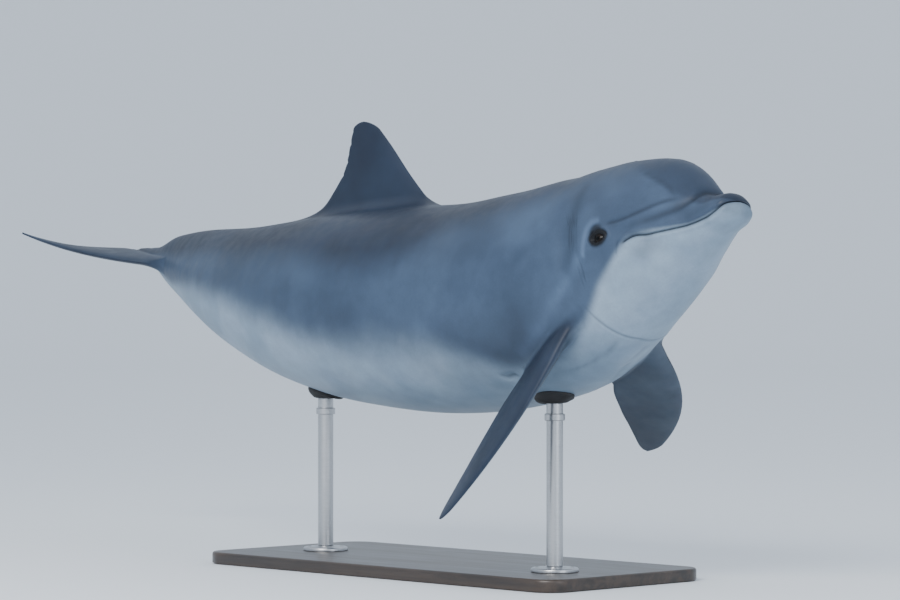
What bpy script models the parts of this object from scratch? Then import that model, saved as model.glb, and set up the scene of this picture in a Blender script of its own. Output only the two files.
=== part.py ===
"""A life-size bottlenose dolphin, held on a plain display stand.

The animal is laid out straight first: s runs back from the tip of the beak,
y points to its left and z up. place() then bends that straight body along
the spine, so the head lifts, the tail sweeps aside and the body banks.
Metres throughout, with +Z up, +X ahead and the origin under the base.
"""
import math

import bmesh
import bpy
import numpy as np
from mathutils import Matrix, Vector

# ---- the animal's driving dimensions ------------------------------------
BODY_LENGTH = 2.60        # tip of the beak to the notch between the flukes
GAP = 0.0003              # clearance kept between pieces that touch
SIDES = 34                # faces round the body
FIN_SIDES = 18            # faces round a fin's section

# Sections of the straight body: distance back, height of the back over the
# axis, depth of the belly under it, half width, height of the widest line,
# squareness of the upper and of the lower half (2 is an ellipse).
STATIONS = (
    (0.000, 0.005, 0.013, 0.013, -0.003, 2.00, 2.00),   # tip of the beak
    (0.012, 0.018, 0.029, 0.030, -0.004, 2.10, 2.10),
    (0.040, 0.026, 0.045, 0.042, -0.008, 2.20, 2.10),
    (0.080, 0.031, 0.061, 0.054, -0.014, 2.20, 2.10),   # crease over the beak
    (0.095, 0.047, 0.068, 0.059, -0.017, 2.10, 2.10),
    (0.115, 0.080, 0.076, 0.066, -0.020, 2.00, 2.10),   # front of the melon
    (0.150, 0.121, 0.092, 0.081, -0.022, 2.00, 2.10),
    (0.200, 0.154, 0.119, 0.100, -0.022, 2.05, 2.10),
    (0.270, 0.176, 0.157, 0.122, -0.020, 2.10, 2.10),   # corner of the mouth
    (0.350, 0.192, 0.194, 0.140, -0.012, 2.10, 2.10),   # blowhole and eyes
    (0.480, 0.206, 0.240, 0.171, 0.000, 2.10, 2.10),    # neck
    (0.640, 0.221, 0.262, 0.209, 0.000, 2.10, 2.15),    # flippers
    (0.850, 0.236, 0.259, 0.238, 0.000, 2.10, 2.15),
    (1.100, 0.237, 0.260, 0.244, 0.000, 2.05, 2.15),    # greatest girth
    (1.350, 0.223, 0.249, 0.226, 0.000, 2.00, 2.10),
    (1.600, 0.198, 0.213, 0.187, 0.000, 1.95, 2.00),    # rear of the back fin
    (1.850, 0.162, 0.156, 0.137, 0.000, 1.85, 1.95),
    (2.080, 0.132, 0.108, 0.086, 0.000, 1.75, 1.80),    # tail stock
    (2.280, 0.090, 0.072, 0.047, 0.000, 1.70, 1.70),
    (2.430, 0.050, 0.047, 0.028, 0.000, 1.70, 1.70),    # between the flukes
    (2.540, 0.030, 0.026, 0.018, 0.000, 1.80, 1.80),
    (BODY_LENGTH, 0.006, 0.006, 0.010, 0.000, 2.00, 2.00),
)

# ---- the pose ------------------------------------------------------------
AXIS_HEIGHT = 0.64        # the body's axis over the floor at mid-body
MID_BODY = 1.10           # where the spine is placed
MID_OFFSET = (0.0, 0.0)   # its place over the base
PITCH, BANK = -1.7, 6.5   # mid-body: nose down, belly to the right, degrees
NECK_FROM, NECK_TO = 1.22, 0.57     # the neck bends between these places
NECK_TURN, NECK_LIFT, NECK_ROLL = 10.0, 16.5, 2.0
TAIL_FROM, TAIL_TO = 1.34, 2.34     # and the tail between these
TAIL_TURN, TAIL_LIFT, TAIL_ROLL = 18.0, -8.0, -7.0

# ---- head ----------------------------------------------------------------
MOUTH_LINE = ((-0.030, -0.001), (0.000, -0.002), (0.012, -0.006), (0.025, -0.013), (0.066, -0.027),
              (0.125, -0.034), (0.200, -0.034), (0.237, -0.029), (0.272, -0.038))
JAW_ANGLE = (0.330, -0.260)         # the lower jaw's rear edge at the throat
HEAD_WIDTH = 0.40                   # wider than the head: reach of its cuts
EYE_PLACE = (0.335, 0.1235, -0.014)  # centre of the eyeball: s, y, z
EYE_RADIUS = 0.0185

# ---- lengths of the body's pieces ---------------------------------------
HEAD_END, NECK_END, CHEST_END, ABDOMEN_END = 0.385, 0.475, 1.080, 1.700

SECTION_SPACING = ((0.0, 0.007), (0.05, 0.018), (0.085, 0.012), (0.12, 0.016), (0.30, 0.035),
                   (0.60, 0.055), (1.30, 0.070), (2.00, 0.062), (BODY_LENGTH, 0.040))

# ---- fins: curves over u, which runs from 0 at the root to 1 at the tip ----
DORSAL_ROOT, DORSAL_TOP, DORSAL_THICK = 0.170, 0.445, 0.036
DORSAL_FRONT = ((0.0, 1.085), (0.12, 1.135), (0.5, 1.268), (0.8, 1.358), (0.94, 1.412), (1.0, 1.452))
DORSAL_REAR = ((0.0, 1.640), (0.12, 1.607), (0.3, 1.560), (0.6, 1.512), (0.85, 1.503),
               (0.95, 1.496), (1.0, 1.478))
DORSAL_TAPER = ((0.0, 1.25), (0.15, 0.85), (0.5, 0.55), (0.8, 0.36), (1.0, 0.14))
DORSAL_LEVELS = (-0.25, 0.0, 0.10, 0.22, 0.35, 0.48, 0.60, 0.71, 0.81, 0.89, 0.95, 0.985)

FLIPPER_LENGTH, FLIPPER_CHORD, FLIPPER_THICK = 0.46, 0.164, 0.0306
FLIPPER_ROOT = (0.560, 0.115, -0.191)
# how far each flipper points down, sweeps back and is feathered, degrees
FLIPPER_POSE = {"right": (68.0, 24.5, -8.0), "left": (18.5, 39.0, -4.0)}
FLIPPER_WIDTH = ((0.0, 0.76), (0.18, 0.92), (0.36, 1.00), (0.55, 0.90), (0.75, 0.66),
                 (0.90, 0.42), (0.97, 0.22), (1.0, 0.05))
FLIPPER_TAPER = ((0.0, 1.0), (0.2, 0.80), (0.5, 0.55), (0.8, 0.34), (1.0, 0.12))
FLIPPER_LEVELS = (-0.14, -0.02, 0.05, 0.13, 0.22, 0.33, 0.45, 0.57, 0.69, 0.80, 0.89, 0.95, 0.985)

FLUKE_INNER, FLUKE_SPAN, FLUKE_THICK = 0.012, 0.320, 0.034
FLUKE_RISE = 0.035                  # the tips curl up by this much
FLUKE_FRONT = ((0.0, 2.330), (0.2, 2.372), (0.5, 2.455), (0.8, 2.560), (0.95, 2.628), (1.0, 2.664))
FLUKE_REAR = ((0.0, 2.594), (0.05, 2.610), (0.14, 2.626), (0.3, 2.633), (0.6, 2.642),
              (0.85, 2.664), (1.0, 2.680))
FLUKE_TAPER = ((0.0, 1.0), (0.15, 0.74), (0.5, 0.50), (0.8, 0.30), (1.0, 0.12))
FLUKE_LEVELS = (0.0, 0.05, 0.10, 0.17, 0.26, 0.37, 0.48, 0.59, 0.70, 0.80, 0.88, 0.94, 0.98)

# ---- display stand -------------------------------------------------------
BASE_LENGTH, BASE_WIDTH, BASE_THICK = 1.20, 0.52, 0.030
BASE_CORNER, BASE_EDGE = 0.06, 0.004
ROD_RADIUS, FLANGE_RADIUS, FLANGE_HEIGHT = 0.019, 0.055, 0.012
SADDLE_RADIUS, SADDLE_DEPTH = 0.045, 0.030
ROD_PLACES = {"front": 0.71, "rear": 1.50}


def curve_through(x, points):
    """Read a smooth curve through (x, value) points that never overshoots them."""
    xs, ys = (np.array(column, float) for column in zip(*points))
    step = np.diff(xs)
    slope = np.diff(ys) / step
    before, after = slope[:-1], slope[1:]
    tangent = np.concatenate([slope[:1], np.zeros(len(xs) - 2), slope[-1:]])
    even = before * after > 0
    weight_a, weight_b = 2 * step[1:] + step[:-1], step[1:] + 2 * step[:-1]
    mean = (weight_a + weight_b)[even] / (weight_a[even] / before[even] + weight_b[even] / after[even])
    tangent[1:-1][even] = mean
    place_in = np.clip(np.searchsorted(xs, x, side="right") - 1, 0, len(step) - 1)
    t = (np.asarray(x, float) - xs[place_in]) / step[place_in]
    a, b = ys[place_in], ys[place_in + 1]
    ta, tb = tangent[place_in] * step[place_in], tangent[place_in + 1] * step[place_in]
    return (a * (1 + 2 * t) * (1 - t) ** 2 + b * t * t * (3 - 2 * t)
            + ta * t * (1 - t) ** 2 - tb * t * t * (1 - t))


def ease(start, end, x):
    """Rise from 0 at start to 1 at end, level at both ends."""
    t = np.clip((np.asarray(x, float) - start) / (end - start), 0, 1)
    return t * t * (3 - 2 * t)


# ---- the spine -----------------------------------------------------------
SPINE_S = np.linspace(-0.10, 2.80, 581)


def spine():
    """Give the spine's points and its forward, left and up directions."""
    neck, tail = ease(NECK_FROM, NECK_TO, SPINE_S), ease(TAIL_FROM, TAIL_TO, SPINE_S)
    turn = np.radians(NECK_TURN * neck + TAIL_TURN * tail)
    lift = np.radians(PITCH + NECK_LIFT * neck + TAIL_LIFT * tail)
    roll = np.radians(BANK + NECK_ROLL * neck + TAIL_ROLL * tail)[:, None]
    zero = np.zeros_like(turn)
    ahead = np.stack([np.cos(lift) * np.cos(turn), -np.cos(lift) * np.sin(turn), np.sin(lift)], 1)
    level_left = np.stack([np.sin(turn), np.cos(turn), zero], 1)
    level_up = np.cross(ahead, level_left)
    left = level_left * np.cos(roll) - level_up * np.sin(roll)
    up = level_up * np.cos(roll) + level_left * np.sin(roll)
    step = SPINE_S[1] - SPINE_S[0]
    run = np.zeros_like(ahead)
    run[1:] = -np.cumsum((ahead[1:] + ahead[:-1]) / 2 * step, axis=0)
    middle = np.argmin(np.abs(SPINE_S - MID_BODY))
    points = run - run[middle] + np.array([*MID_OFFSET, AXIS_HEIGHT])
    return points, ahead, left, up


SPINE = spine()


def along_spine(s):
    """Read the spine's point and three directions at s."""
    return [np.stack([np.interp(s, SPINE_S, part[:, k]) for k in range(3)], -1) for part in SPINE]


def place(s, y, z):
    """Carry points of the straight body onto the bent one."""
    s, y, z = np.broadcast_arrays(*(np.asarray(v, float) for v in (s, y, z)))
    point, _, left, up = along_spine(s)
    return point + left * y[..., None] + up * z[..., None]


def station(s):
    """Give top, depth, half width, widest height and the two squarenesses at s."""
    column = list(zip(*STATIONS))
    return [curve_through(s, tuple(zip(column[0], column[k]))) for k in range(1, 7)]


def body_point(s, around, grow=0.0):
    """A point of the straight body's skin; around is 0 on the back, pi on the belly."""
    top, depth, half, middle, square_up, square_down = station(s)
    c, n = np.cos(around), np.sin(around)
    power = np.where(c > 0, square_up, square_down)
    size = (np.abs(c) ** power + np.abs(n) ** power) ** (-1 / power)
    reach = np.where(c > 0, top - middle, middle + depth)
    return half * n * size + grow * n, middle + reach * c * size + grow * c


# ---- making meshes -------------------------------------------------------
def material(name, colour, roughness, metallic=0.0):
    """A plain Principled material."""
    made = bpy.data.materials.new(name)
    made.use_nodes = True
    shader = made.node_tree.nodes["Principled BSDF"]
    shader.inputs["Base Color"].default_value = (*colour, 1.0)
    shader.inputs["Roughness"].default_value = roughness
    shader.inputs["Metallic"].default_value = metallic
    made.diffuse_color = (*colour, 1.0)
    return made


def add_object(name, mesh, look=None, sharp=40.0):
    """Link a mesh as an object, shaded smooth except over sharp edges."""
    thing = bpy.data.objects.new(name, mesh)
    bpy.context.scene.collection.objects.link(thing)
    mesh.shade_smooth()
    mesh.set_sharp_from_angle(angle=math.radians(sharp))
    if look:
        mesh.materials.append(look)
    return thing


def loft(name, rings):
    """Skin a list of equal closed rings and cap both ends; faces point out.

    Every band is split along the same diagonals, so that a grown copy of a
    form stays at an even distance from it.
    """
    rings = np.asarray(rings)
    count, sides = rings.shape[:2]
    faces = []
    for i in range(count - 1):
        for j in range(sides):
            k = (j + 1) % sides
            low, high = i * sides, (i + 1) * sides
            faces.append((low + j, low + k, high + k))
            faces.append((low + j, high + k, high + j))
    faces.append(tuple(range(sides))[::-1])
    faces.append(tuple((count - 1) * sides + j for j in range(sides)))
    mesh = bpy.data.meshes.new(name)
    mesh.from_pydata(rings.reshape(-1, 3).tolist(), [], faces)
    shape = bmesh.new()
    shape.from_mesh(mesh)
    bmesh.ops.recalc_face_normals(shape, faces=shape.faces)
    bmesh.ops.triangulate(shape, faces=[f for f in shape.faces if len(f.verts) > 4])
    shape.to_mesh(mesh)
    shape.free()
    return mesh


def hidden(thing):
    """Mark an object as a cutter, which is no piece of the model."""
    thing.hide_render = True
    thing.display_type = "WIRE"
    return thing


def boolean(thing, other, operation):
    """Cut a piece by another, or keep what they share."""
    cut = thing.modifiers.new(other.name, "BOOLEAN")
    cut.operation = operation
    cut.solver = "EXACT"
    cut.object = other


# ---- the body ------------------------------------------------------------
def section_places(start, end):
    """Places of the sections between start and end, close where the form turns fast."""
    reach = np.linspace(start, end, 400)
    spacing = curve_through(reach, SECTION_SPACING)
    steps = np.append(0, np.cumsum((reach[1] - reach[0]) / spacing[:-1]))
    count = int(round(steps[-1])) + 1
    return np.interp(np.linspace(0, steps[-1], count), steps, reach)


PIECE_ENDS = (0.0, HEAD_END, NECK_END, CHEST_END, ABDOMEN_END, BODY_LENGTH)
SECTIONS = np.unique(np.concatenate([section_places(a, b) for a, b in zip(PIECE_ENDS, PIECE_ENDS[1:])]))


def body_length(name, start, end, grow=0.0):
    """A closed length of the body between two places of the spine."""
    around = np.arange(SIDES) * 2 * math.pi / SIDES
    inner = SECTIONS[(SECTIONS > start + 10 * GAP) & (SECTIONS < end - 10 * GAP)]
    rings = []
    for s in (start, *inner, end):
        y, z = body_point(s, around, grow)
        rings.append(place(np.full(SIDES, s), y, z))
    return loft(name, rings)


def foil(sides):
    """A fin's section: place along the chord and half thickness with its sign."""
    angle = np.arange(sides) * 2 * math.pi / sides
    along = (1 - np.cos(angle)) / 2
    half = 1.45 * np.sqrt(along) * (1 - along) + 0.06 * np.sqrt(along)
    return along, np.where(np.sin(angle) >= 0, half, -half)


def flipper_rings(side):
    """Sections of one flipper, from inside the chest to its rounded tip."""
    down, back, feather = (math.radians(v) for v in FLIPPER_POSE[side])
    outward = 1 if side == "left" else -1
    out, below, rear = np.array([0, outward, 0.0]), np.array([0, 0, -1.0]), np.array([-1.0, 0, 0])
    level = math.cos(down) * out + math.sin(down) * below
    span = math.cos(back) * level + math.sin(back) * rear
    chord = math.cos(back) * rear - math.sin(back) * level
    normal = np.cross(span, chord)
    chord = math.cos(feather) * chord + math.sin(feather) * normal * outward
    normal = np.cross(span, chord)
    along, half = foil(FIN_SIDES)
    s, y, z = FLIPPER_ROOT
    rings = []
    for u in FLIPPER_LEVELS:
        inner = max(u, 0.0)
        sweep = FLIPPER_LENGTH * (0.30 * inner ** 2.2 - 0.02 * math.sin(math.pi * inner) - 0.17)
        width = FLIPPER_CHORD * curve_through(inner, FLIPPER_WIDTH)
        thick = FLIPPER_THICK * curve_through(inner, FLIPPER_TAPER)
        offset = (u * FLIPPER_LENGTH * span[None]
                  + (sweep + width * along)[:, None] * chord + (thick * half)[:, None] * normal)
        point, ahead, left, up = (v for v in along_spine(s))
        local = offset + np.array([0, outward * y, z])
        rings.append(point + local[:, :1] * ahead + local[:, 1:2] * left + local[:, 2:] * up)
    return rings


def dorsal_rings():
    """Sections of the back fin, from inside the back to its rounded tip."""
    along, half = foil(FIN_SIDES)
    rings = []
    for u in DORSAL_LEVELS:
        inner = max(u, 0.0)
        front, rear = curve_through(inner, DORSAL_FRONT), curve_through(inner, DORSAL_REAR)
        thick = DORSAL_THICK * curve_through(inner, DORSAL_TAPER)
        height = DORSAL_ROOT + (DORSAL_TOP - DORSAL_ROOT) * u
        rings.append(place(front + (rear - front) * along, thick * half, np.full(FIN_SIDES, height)))
    return rings


def fluke_rings(side):
    """Sections of one fluke, from inside the tail stock to its swept tip."""
    outward = 1 if side == "left" else -1
    along, half = foil(FIN_SIDES)
    rings = []
    for u in FLUKE_LEVELS:
        front, rear = curve_through(u, FLUKE_FRONT), curve_through(u, FLUKE_REAR)
        thick = FLUKE_THICK * curve_through(u, FLUKE_TAPER)
        y = outward * (FLUKE_INNER + (FLUKE_SPAN - FLUKE_INNER) * u)
        z = FLUKE_RISE * u ** 3 + thick * half
        rings.append(place(front + (rear - front) * along, np.full(FIN_SIDES, y), z))
    return rings


def jaw_region(name, shrink):
    """The space under the mouth line, ahead of the angle of the jaw."""
    upper = [(s, z - shrink) for s, z in MOUTH_LINE[:-1]]
    corner = (MOUTH_LINE[-1][0] - shrink, MOUTH_LINE[-1][1] - shrink)
    outline = upper + [corner, (JAW_ANGLE[0] - shrink, JAW_ANGLE[1]), (-0.030, JAW_ANGLE[1])]
    rings = [place(*(np.array(v) for v in ([p[0] for p in outline], [y] * len(outline),
                                           [p[1] for p in outline])))
             for y in (-HEAD_WIDTH / 2, HEAD_WIDTH / 2)]
    return hidden(add_object(name, loft(name, rings)))


def ball(name, centre, radius, look=None, rows=8):
    """A round eyeball, or the cutter for its socket."""
    mesh = bpy.data.meshes.new(name)
    shape = bmesh.new()
    turned = Matrix.Translation(Vector(centre))
    bmesh.ops.create_uvsphere(shape, u_segments=2 * rows, v_segments=rows, radius=radius, matrix=turned)
    shape.to_mesh(mesh)
    shape.free()
    return add_object(name, mesh, look)


def drum(name, centre, radius, bottom, top, look, edge=0.0, sides=32):
    """An upright cylinder between two heights, its rim rounded by edge."""
    mesh = bpy.data.meshes.new(name)
    shape = bmesh.new()
    middle = Matrix.Translation(Vector((*centre, (bottom + top) / 2)))
    bmesh.ops.create_cone(shape, cap_ends=True, segments=sides, radius1=radius, radius2=radius,
                          depth=top - bottom, matrix=middle)
    if edge:
        rim = [e for e in shape.edges if all(v.co.z > top - 1e-6 for v in e.verts)]
        bmesh.ops.bevel(shape, geom=rim, offset=edge, segments=2, profile=0.5, affect="EDGES")
    shape.to_mesh(mesh)
    shape.free()
    return add_object(name, mesh, look)


# ---- the pieces ----------------------------------------------------------
def make_head(skin, eye_look):
    """Head with the lower jaw parted from it along the mouth, and both eyes."""
    head = add_object("head", body_length("head", 0.0, HEAD_END), skin)
    jaw = add_object("lower_jaw", body_length("lower_jaw", 0.0, HEAD_END), skin)
    boolean(head, jaw_region("cut_over_jaw", -GAP / 2), "DIFFERENCE")
    boolean(jaw, jaw_region("keep_jaw", GAP / 2), "INTERSECT")
    for side, outward in (("left", 1), ("right", -1)):
        s, y, z = EYE_PLACE
        centre = place(s, outward * y, z)
        ball("eye_" + side, centre, EYE_RADIUS, eye_look)
        boolean(head, hidden(ball("cut_socket_" + side, centre, EYE_RADIUS + GAP)), "DIFFERENCE")


def make_trunk(skin):
    """Neck, chest, abdomen and tail stock, each a length of the body."""
    ends = (HEAD_END, NECK_END, CHEST_END, ABDOMEN_END, BODY_LENGTH)
    for name, start, end in zip(("neck", "chest", "abdomen", "tail_stock"), ends, ends[1:]):
        add_object(name, body_length(name, start + GAP, end), skin)


def make_fins(skin, body):
    """Both flippers, the back fin and both flukes, each seated on the body."""
    fins = [("dorsal_fin", dorsal_rings())]
    for side in ("left", "right"):
        fins.append(("flipper_" + side, flipper_rings(side)))
        fins.append(("fluke_" + side, fluke_rings(side)))
    for name, rings in fins:
        boolean(add_object(name, loft(name, rings), skin), body, "DIFFERENCE")


def make_stand(steel, lacquer, body):
    """A flat base with two rods, each on a flange and under a saddle."""
    mesh = bpy.data.meshes.new("stand_base")
    shape = bmesh.new()
    bmesh.ops.create_cube(shape, size=1.0, matrix=Matrix.Diagonal((BASE_LENGTH, BASE_WIDTH, BASE_THICK, 1)))
    corners = [e for e in shape.edges if abs(e.verts[0].co.z - e.verts[1].co.z) > BASE_THICK / 2]
    bmesh.ops.bevel(shape, geom=corners, offset=BASE_CORNER, segments=8, profile=0.5, affect="EDGES")
    rim = [e for e in shape.edges if all(v.co.z > BASE_THICK / 2 - 1e-6 for v in e.verts)]
    bmesh.ops.bevel(shape, geom=rim, offset=BASE_EDGE, segments=2, profile=0.5, affect="EDGES")
    bmesh.ops.translate(shape, verts=shape.verts, vec=(0, 0, BASE_THICK / 2))
    shape.to_mesh(mesh)
    shape.free()
    add_object("stand_base", mesh, lacquer, 30.0)

    flange_top = BASE_THICK + GAP + FLANGE_HEIGHT
    for name, s in ROD_PLACES.items():
        x, y, z = place(s, *body_point(s, math.pi))
        saddle_foot = z - SADDLE_DEPTH / 2
        drum("stand_flange_" + name, (x, y), FLANGE_RADIUS, BASE_THICK + GAP, flange_top, steel, 0.003)
        drum("stand_rod_" + name, (x, y), ROD_RADIUS, flange_top + GAP, saddle_foot - GAP, steel)
        saddle = drum("stand_saddle_" + name, (x, y), SADDLE_RADIUS, saddle_foot, z + SADDLE_DEPTH, lacquer)
        boolean(saddle, body, "DIFFERENCE")


def main():
    for thing in list(bpy.data.objects):
        bpy.data.objects.remove(thing, do_unlink=True)
    skin = material("skin", (0.13, 0.17, 0.22), 0.38)
    eye_look = material("eye", (0.02, 0.016, 0.014), 0.08)
    steel = material("stand_steel", (0.55, 0.55, 0.56), 0.35, 1.0)
    lacquer = material("stand_lacquer", (0.035, 0.036, 0.038), 0.45)
    make_head(skin, eye_look)
    make_trunk(skin)
    body = hidden(add_object("cut_body", body_length("cut_body", 0.0, BODY_LENGTH, GAP)))
    make_fins(skin, body)
    make_stand(steel, lacquer, body)


main()
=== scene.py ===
"""The looks of a life-size bottlenose dolphin, held on a plain display stand.

The animal is laid out straight first: s runs back from the tip of the beak,
y points to its left and z up. place() then bends that straight body along
the spine. Angles round the body run from 0 on the back, over the left side,
to 180 degrees on the belly, and on up the right side.
Metres throughout, with +Z up, +X ahead and the origin under the base.
"""

import math

import bpy
import numpy as np
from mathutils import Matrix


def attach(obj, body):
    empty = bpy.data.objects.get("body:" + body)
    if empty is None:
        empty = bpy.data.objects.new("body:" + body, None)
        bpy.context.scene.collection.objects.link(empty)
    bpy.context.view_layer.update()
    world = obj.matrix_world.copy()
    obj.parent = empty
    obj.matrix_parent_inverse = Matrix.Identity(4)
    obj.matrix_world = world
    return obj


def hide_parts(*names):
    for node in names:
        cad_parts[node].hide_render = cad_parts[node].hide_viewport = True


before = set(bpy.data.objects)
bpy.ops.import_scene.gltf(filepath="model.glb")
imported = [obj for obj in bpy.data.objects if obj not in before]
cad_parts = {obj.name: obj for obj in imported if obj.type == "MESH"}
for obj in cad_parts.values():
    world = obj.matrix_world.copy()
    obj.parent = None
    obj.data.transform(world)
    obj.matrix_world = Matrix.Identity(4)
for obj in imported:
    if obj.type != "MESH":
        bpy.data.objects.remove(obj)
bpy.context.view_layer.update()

# ---- the body's sections: the same values as the solids -------------------
BODY_LENGTH = 2.6         # tip of the beak to the notch between the flukes
# distance back, height of the back, depth of the belly, half width, height of
# the widest line, squareness of the upper and of the lower half
STATIONS = (
    (0.000, 0.005, 0.013, 0.013, -0.003, 2.00, 2.00),   # tip of the beak
    (0.012, 0.018, 0.029, 0.030, -0.004, 2.10, 2.10),
    (0.040, 0.026, 0.045, 0.042, -0.008, 2.20, 2.10),
    (0.080, 0.031, 0.061, 0.054, -0.014, 2.20, 2.10),   # crease over the beak
    (0.095, 0.047, 0.068, 0.059, -0.017, 2.10, 2.10),
    (0.115, 0.080, 0.076, 0.066, -0.020, 2.00, 2.10),   # front of the melon
    (0.150, 0.121, 0.092, 0.081, -0.022, 2.00, 2.10),
    (0.200, 0.154, 0.119, 0.100, -0.022, 2.05, 2.10),
    (0.270, 0.176, 0.157, 0.122, -0.020, 2.10, 2.10),   # corner of the mouth
    (0.350, 0.192, 0.194, 0.140, -0.012, 2.10, 2.10),   # blowhole and eyes
    (0.480, 0.206, 0.240, 0.171, 0.000, 2.10, 2.10),    # neck
    (0.640, 0.221, 0.262, 0.209, 0.000, 2.10, 2.15),    # flippers
    (0.850, 0.236, 0.259, 0.238, 0.000, 2.10, 2.15),
    (1.100, 0.237, 0.260, 0.244, 0.000, 2.05, 2.15),    # greatest girth
    (1.350, 0.223, 0.249, 0.226, 0.000, 2.00, 2.10),
    (1.600, 0.198, 0.213, 0.187, 0.000, 1.95, 2.00),    # rear of the back fin
    (1.850, 0.162, 0.156, 0.137, 0.000, 1.85, 1.95),
    (2.080, 0.132, 0.108, 0.086, 0.000, 1.75, 1.80),    # tail stock
    (2.280, 0.090, 0.072, 0.047, 0.000, 1.70, 1.70),
    (2.430, 0.050, 0.047, 0.028, 0.000, 1.70, 1.70),    # between the flukes
    (2.540, 0.030, 0.026, 0.018, 0.000, 1.80, 1.80),
    (BODY_LENGTH, 0.006, 0.006, 0.010, 0.000, 2.00, 2.00),
)

# ---- the pose ------------------------------------------------------------
AXIS_HEIGHT, MID_BODY = 0.64, 1.1
PITCH, BANK = -1.7, 6.5
NECK_FROM, NECK_TO = 1.22, 0.57
NECK_TURN, NECK_LIFT, NECK_ROLL = 10.0, 16.5, 2.0
TAIL_FROM, TAIL_TO = 1.34, 2.34
TAIL_TURN, TAIL_LIFT, TAIL_ROLL = 18.0, -8.0, -7.0
SPINE_S = np.linspace(-0.1, 2.8, 581)

# ---- fins: curves over u, which runs from 0 at the root to 1 at the tip ----
DORSAL_ROOT, DORSAL_TOP, DORSAL_THICK = 0.17, 0.445, 0.036
DORSAL_FRONT = ((0.0, 1.085), (0.12, 1.135), (0.5, 1.268), (0.8, 1.358), (0.94, 1.404), (1.0, 1.424))
DORSAL_REAR = ((0.0, 1.64), (0.12, 1.607), (0.3, 1.56), (0.6, 1.512), (0.85, 1.503),
               (0.95, 1.499), (1.0, 1.494))
DORSAL_TAPER = ((0.0, 1.25), (0.15, 0.85), (0.5, 0.55), (0.8, 0.36), (1.0, 0.14))
# nicks in the back fin's trailing edge: place over u, depth, half width
DORSAL_NICKS = ((0.5, 0.0035, 0.016), (0.62, 0.0045, 0.012), (0.69, 0.003, 0.01),
                (0.8, 0.005, 0.012), (0.9, 0.0025, 0.01))

FLIPPER_LENGTH, FLIPPER_CHORD, FLIPPER_THICK = 0.46, 0.164, 0.0306
FLIPPER_ROOT = (0.56, 0.115, -0.191)
FLIPPER_POSE = {"right": (68.0, 24.5, -8.0), "left": (18.5, 39.0, -4.0)}   # down, back, feather
SWEEP, SWEEP_POWER, SWEEP_BOW, ROOT_FORWARD = 0.3, 2.2, 0.02, 0.17
FLIPPER_WIDTH = ((0.0, 0.76), (0.18, 0.92), (0.36, 1.0), (0.55, 0.9), (0.75, 0.66),
                 (0.9, 0.42), (0.96, 0.31), (1.0, 0.25))
FLIPPER_TAPER = ((0.0, 1.0), (0.2, 0.8), (0.5, 0.55), (0.8, 0.34), (1.0, 0.12))

FLUKE_INNER, FLUKE_SPAN, FLUKE_THICK, FLUKE_RISE = 0.012, 0.32, 0.034, 0.035
FLUKE_FRONT = ((0.0, 2.33), (0.2, 2.372), (0.5, 2.455), (0.8, 2.56), (0.95, 2.628), (1.0, 2.664))
FLUKE_REAR = ((0.0, 2.594), (0.05, 2.61), (0.14, 2.626), (0.3, 2.633), (0.6, 2.642),
              (0.85, 2.664), (1.0, 2.68))
FLUKE_TAPER = ((0.0, 1.0), (0.15, 0.74), (0.5, 0.5), (0.8, 0.3), (1.0, 0.12))

# ---- head ----------------------------------------------------------------
MOUTH_END = 0.272                   # the corner of the mouth
# the line of the mouth, and the same line carried on below the eye as a guide
MOUTH_LINE = ((0.0, -0.002), (0.012, -0.006), (0.025, -0.013), (0.066, -0.027), (0.125, -0.034),
              (0.2, -0.034), (0.237, -0.029), (MOUTH_END, -0.038), (0.305, -0.052), (0.34, -0.06),
              (0.385, -0.058), (0.45, -0.048), (0.6, -0.035), (1.2, -0.02), (2.25, -0.003),
              (BODY_LENGTH, 0.0))
NOSE = 0.03                         # length of the beak's rounded tip
NOSE_HEIGHT = -0.003
TAIL_ROUND = 0.01                   # length of the rounded end in the notch
KEEL_FROM, KEEL_TO, KEEL_LOSS = 2.32, 2.53, 0.52   # the tail's ridge sinks between the flukes
NOTCH_FROM, NOTCH_TUCK = 2.584, 0.009              # its end is drawn into the notch
EYE_PLACE, EYE_RADIUS = (0.336, 0.123, -0.011), 0.0185
EYE_HALF, EYE_UPPER, EYE_LOWER = 0.018, 0.01, 0.0098      # the opening between the lids
BLOWHOLE_S, BLOWHOLE_HALF = 0.352, 0.018

# ---- display stand: the same values as the solids ------------------------
BASE_LENGTH, BASE_WIDTH, BASE_THICK, BASE_CORNER = 1.2, 0.52, 0.03, 0.06
ROD_RADIUS, FLANGE_RADIUS, FLANGE_HEIGHT = 0.019, 0.055, 0.012
SADDLE_RADIUS, SADDLE_DEPTH, GAP = 0.045, 0.03, 0.0003
ROD_PLACES = {"front": 0.71, "rear": 1.5}

FLESH = ("head", "lower_jaw", "neck", "chest", "abdomen", "tail_stock", "dorsal_fin",
         "flipper_left", "flipper_right", "fluke_left", "fluke_right")


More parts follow.
